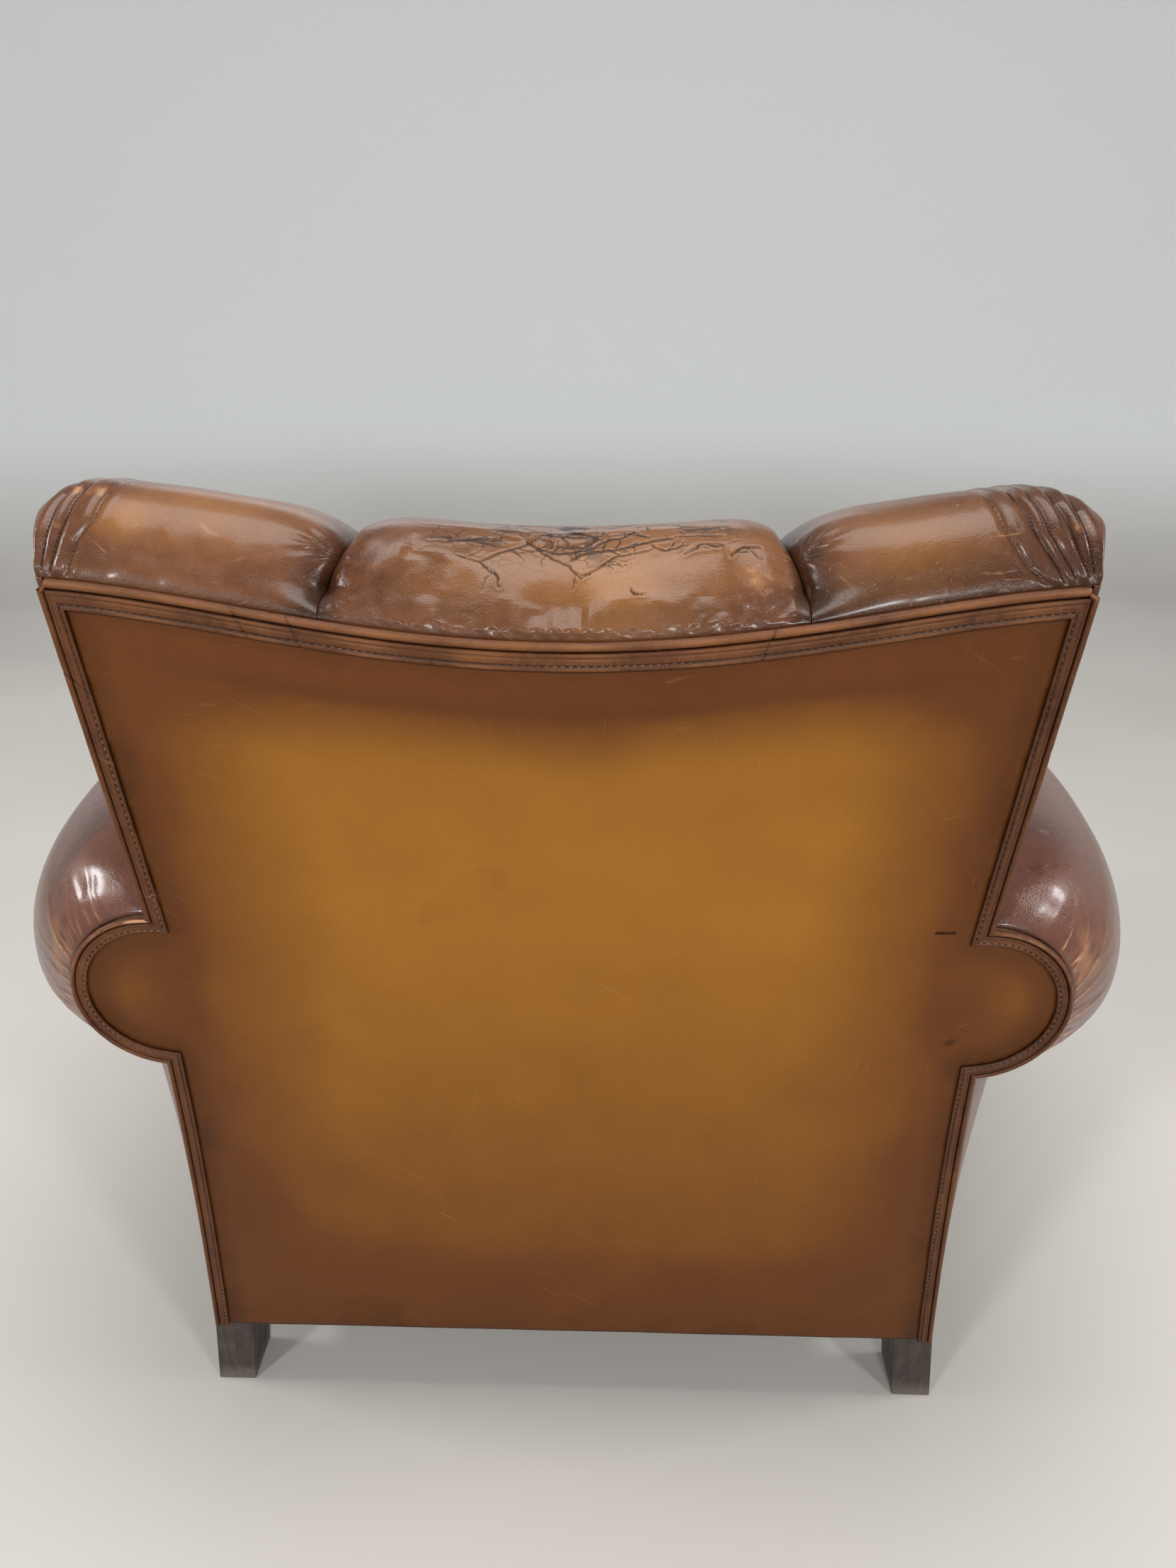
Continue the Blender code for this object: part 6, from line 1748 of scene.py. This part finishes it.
for side, hand in HANDS.items():
    flat, squares, from_edge = cut_hide(facing_line(2 * PIPING + GAP), 0.0004, 0.005, SKIRT)
    stuffed = 0.0016 * smooth(0.0, 0.018, from_edge) + 0.0003 * ripple(flat, 0.08, 71 + side)
    points = np.stack([side * flat[:, 0], FRONT_Y + PANEL_NEAR - stuffed, flat[:, 1]], -1)
    rubbed = (0.75 * hump(flat[:, 1], ARM_Z + 0.03, 0.05) * smooth(0.004, 0.03, from_edge)
              + 0.25 * hump(flat[:, 1], 0.3, 0.1))
    # Dirt and painted shade: darker along the edge by the piping, where shade falls, and towards the bottom.
    dirt_and_painted_shade = 0.6 * smooth(0.012, 0.0, from_edge) + 0.5 * smooth(0.17, 0.08, flat[:, 1])
    crazed = 0.3 * hump(flat[:, 1], ARM_Z, 0.06)
    facing = piece(hand + "_facing_hide", points, squares, BROWN_HIDE, {
        "tan": rubbed, "dark": dirt_and_painted_shade, "crack": crazed, "pale": 0.15 * rubbed}, flat)
    face_towards(facing, (0, -1, 0))
    wall(facing)
    fit(facing, "brown_hide", "arm_facing_" + hand)
    path = facing_line(PIPING)
    for _ in range(6):
        path[1:-1] = path[1:-1] * 0.5 + (path[:-2] + path[2:]) * 0.25
    path = np.stack([side * path[:, 0], np.full(len(path), FRONT_Y + HIDE), path[:, 1]], -1)
    cord = welt(hand + "_facing_piping", path, uneven=0.0006)
    fit(cord, "dark_hide", "arm_piping_" + hand)

# %% [markdown]
# ## The seat
# The front border is a stuffed roll of hide across the front of the seat. The cushion is loose:
# two panels and a boxing strip, sewn with a welt round the top and one round the bottom, and
# filled. So it is held along both welts in the simulation and swells between them, and a hollow
# is pressed in its top where people sit.

# %% Front border
half = ARM_X - FACING_ROLL - 0.001
behind, ahead = FRONT_TIMBER + 0.018, FRONT_Y + 0.004
rear_bend, front_bend = 0.010, 0.012
turn = np.radians(np.linspace(0, 90, 5))
section = [(behind, z) for z in np.linspace(SKIRT, DECK_TOP - 0.012, 10)]
section += [(behind - rear_bend + rear_bend * math.cos(a), DECK_TOP - rear_bend + rear_bend * math.sin(a))
            for a in turn[1:]]
section += [(ahead + front_bend - front_bend * math.sin(a), DECK_TOP - front_bend + front_bend * math.cos(a))
            for a in turn]
section += [(ahead - 0.003 * smooth(0.0, 0.5, s), mix(DECK_TOP - 0.014, SKIRT + 0.003, s))
            for s in np.linspace(0, 1, 44)]
section += [(ahead + 0.003, SKIRT)]
section = np.array(section)
xs = np.linspace(-half, half, 141)
rings = np.stack(np.broadcast_arrays(xs[:, None], section[:, 0], section[:, 1]), -1).copy()
facing_out = smooth(behind - 0.008, ahead, rings[..., 1])
folds = ripple(np.stack([rings[..., 0], rings[..., 2] * 0.25], -1), 0.035, 81) * (
    hump(rings[..., 2], SKIRT, 0.05) + hump(rings[..., 2], DECK_TOP, 0.04))
end_in = smooth(half, half - 0.020, np.abs(rings[..., 0]))
swell = (0.0016 * ripple(rings, 0.16, 82) + 0.0010 * folds) * end_in
rings[..., 1] -= facing_out * (swell - 0.003 * (1 - end_in))
creased = hump(np.abs(rings[..., 0]), 0.2, 0.08) * 0.4 * facing_out
rubbed = (0.75 * hump(rings[..., 2], DECK_TOP - 0.02, 0.03) * facing_out
          + 0.2 * hump(rings[..., 2], 0.2, 0.05))
# Dirt and painted shade: darker towards the bottom, and painted shade at the ends, which are set back by the
# arms.
dirt_and_painted_shade = 0.6 * smooth(0.14, 0.08, rings[..., 2]) + 0.3 * (1 - end_in)
border = close_rings("front_border_roll", rings, BROWN_HIDE, {
    "tan": rubbed, "dark": dirt_and_painted_shade, "crack": creased, "pale": 0 * creased})
tidy(border)
fit(border, "brown_hide", "front_border")

# %% The seat cushion
WELT_LOW, WELT_HIGH = DECK_TOP + GAP + 0.006, DECK_TOP + GAP + 0.109
CUSHION_HALF, CUSHION_DEEP, CUSHION_MIDDLE, CUSHION_CORNER = 0.2575, 0.26915, -0.16085, 0.036


def off_wall(points):
    """Distance inside the cushion's upright side, seen from above."""
    side_x = np.abs(points[..., 0]) - (CUSHION_HALF - CUSHION_CORNER)
    side_y = np.abs(points[..., 1] - CUSHION_MIDDLE) - (CUSHION_DEEP - CUSHION_CORNER)
    outside = np.hypot(np.maximum(side_x, 0), np.maximum(side_y, 0))
    return CUSHION_CORNER - outside - np.minimum(np.maximum(side_x, side_y), 0)


def even_net(node, size):
    """Places and faces of a node's shape, made again as a net of even squares."""
    shape = bmesh.new()
    shape.from_mesh(frame["nodes"][node].data)
    shape.transform(frame["nodes"][node].matrix_world)
    bmesh.ops.remove_doubles(shape, verts=shape.verts, dist=1e-5)
    mesh = bpy.data.meshes.new("copy")
    shape.to_mesh(mesh)
    shape.free()
    copy = into_scene("copy", mesh)
    again = copy.modifiers.new("even net", "REMESH")
    again.mode = "VOXEL"
    again.voxel_size = size
    made = as_made(copy)
    places = np.zeros(len(made.vertices) * 3)
    made.vertices.foreach_get("co", places)
    faces = [list(face.vertices) for face in made.polygons]
    bpy.data.objects.remove(copy, do_unlink=True)
    bpy.data.meshes.remove(mesh)
    bpy.data.meshes.remove(made)
    return places.reshape(-1, 3), faces


cover, faces = even_net("seat_cushion", 0.0072)
inward = off_wall(cover)
x, y, z = cover.T
upper, lower = np.abs(z - WELT_HIGH), np.abs(z - WELT_LOW)
at_welt = smooth(0.008, 0.004, np.minimum(upper, lower)) * smooth(0.010, 0.005, inward)
under = (z < WELT_LOW - 0.002) * 1.0
crown = smooth(WELT_HIGH, WELT_HIGH + 0.010, z) * smooth(0.010, 0.06, inward)
shrunk = cover - [0, 0, 0.006] * crown[:, None]
swollen = blown_up(shrunk, faces, np.maximum(at_welt, 0.9 * under), 3.5,
                   frames=20, slack=0.020, bending=0.8)
swollen = shrunk + capped(swollen - shrunk, 0.012)
sat_on = hump(x, 0.01, 0.16) * hump(y, CUSHION_MIDDLE + 0.02, 0.17)
on_top = smooth(WELT_HIGH, WELT_HIGH + 0.008, z)
circles = np.hypot(x, y - CUSHION_MIDDLE) / 0.028
wrinkles = np.sin((circles + ripple(cover[:, :2], 0.09, 85)) * math.tau / 2)
swollen[:, 2] -= on_top * (0.011 * sat_on + 0.0006 * wrinkles * hump(inward, 0.07, 0.05))
CUSHION_ROOM = ((-0.2625, 0.2625), (-0.437, 0.1083), (DECK_TOP + GAP, 0.428))
for axis, room in enumerate(CUSHION_ROOM):
    swollen[:, axis] = np.clip(swollen[:, axis], *room)
rubbed = on_top * (0.75 * sat_on + 0.35 * hump(y, -0.40, 0.05)) + 0.3 * (1 - on_top) * hump(y, -0.43, 0.02)
# Dirt and painted shade: darker in the creases at the welts, along the top's edge and towards the back, where
# it meets the back pads.
dirt_and_painted_shade = 0.55 * at_welt + 0.25 * on_top * smooth(0.05, 0.0, inward) + 0.6 * smooth(-0.05, 0.10, y)
creased = on_top * (0.75 * hump(y, -0.36, 0.07) * hump(x, 0.02, 0.16) + 0.35 * sat_on)
fibre = 0.25 * on_top * hump(y, -0.41, 0.02) * hump(x, 0.0, 0.15)
cushion = piece("seat_cushion_cover", swollen, faces, BROWN_HIDE, {
    "tan": rubbed, "dark": dirt_and_painted_shade, "crack": creased, "pale": fibre})
finer = cushion.modifiers.new("finer net", "SUBSURF")
finer.levels = finer.render_levels = 1
fine_mesh = as_made(cushion)
cushion.modifiers.remove(finer)
cushion.data = fine_mesh
tidy(cushion)
fine_mesh.shade_smooth()
fit(cushion, "brown_hide", "seat_cushion")

# %% Welts of the seat cushion
corner = np.radians(np.linspace(0, 90, 9))
quarter = [(CUSHION_HALF - CUSHION_CORNER + CUSHION_CORNER * math.cos(a),
            CUSHION_DEEP - CUSHION_CORNER + CUSHION_CORNER * math.sin(a)) for a in corner]
loop = np.array(quarter + [(-x, y) for x, y in quarter[::-1]] + [(-x, -y) for x, y in quarter]
                + [(x, -y) for x, y in quarter[::-1]])
parts = np.linspace(0, 1, 12)[:-1, None]
for name, height in (("cushion_welt_high", WELT_HIGH), ("cushion_welt_low", WELT_LOW)):
    line = np.stack([loop[:, 0], loop[:, 1] + CUSHION_MIDDLE, np.full(len(loop), height)], -1)
    line = np.concatenate([start + (end - start) * parts for start, end in zip(line, np.roll(line, -1, 0))])
    fit(welt(name, line, closed=True, uneven=0.0014), "dark_hide")

# %% [markdown]
# ## The bottom cloth
# A thin black cloth is tacked under the frame and cut out round the four feet. It keeps dust in
# and hangs down a little between the rails.

# %% Bottom cloth
CLOTH_FRONT, CLOTH_UP, CLOTH = -0.3978, 0.0835, 0.0008
corner_cut = [(0.3284, CLOTH_FRONT), (0.3284, -0.3598), (0.3612, -0.3588), (0.2912, 0.3081),
              (0.2650, 0.3091), (0.2650, 0.3472)]
cloth_line = np.array(corner_cut + [(-x, y) for x, y in corner_cut[::-1]])
flat, squares, from_edge = cut_hide(cloth_line, 0.0006, 0.010, CLOTH_FRONT)
hang = 0.0045 * smooth(0.02, 0.20, np.minimum(from_edge, flat[:, 1] - CLOTH_FRONT))
hang = hang * (0.8 + 0.2 * ripple(flat, 0.25, 91))
points = np.stack([flat[:, 0], flat[:, 1], CLOTH_UP - hang], -1)
cloth = piece("bottom_cloth_sheet", points, squares, BOTTOM_CLOTH, {}, flat)
face_towards(cloth, (0, 0, -1))
wall(cloth, CLOTH)
fit(cloth, "black_cloth", "bottom_cloth")
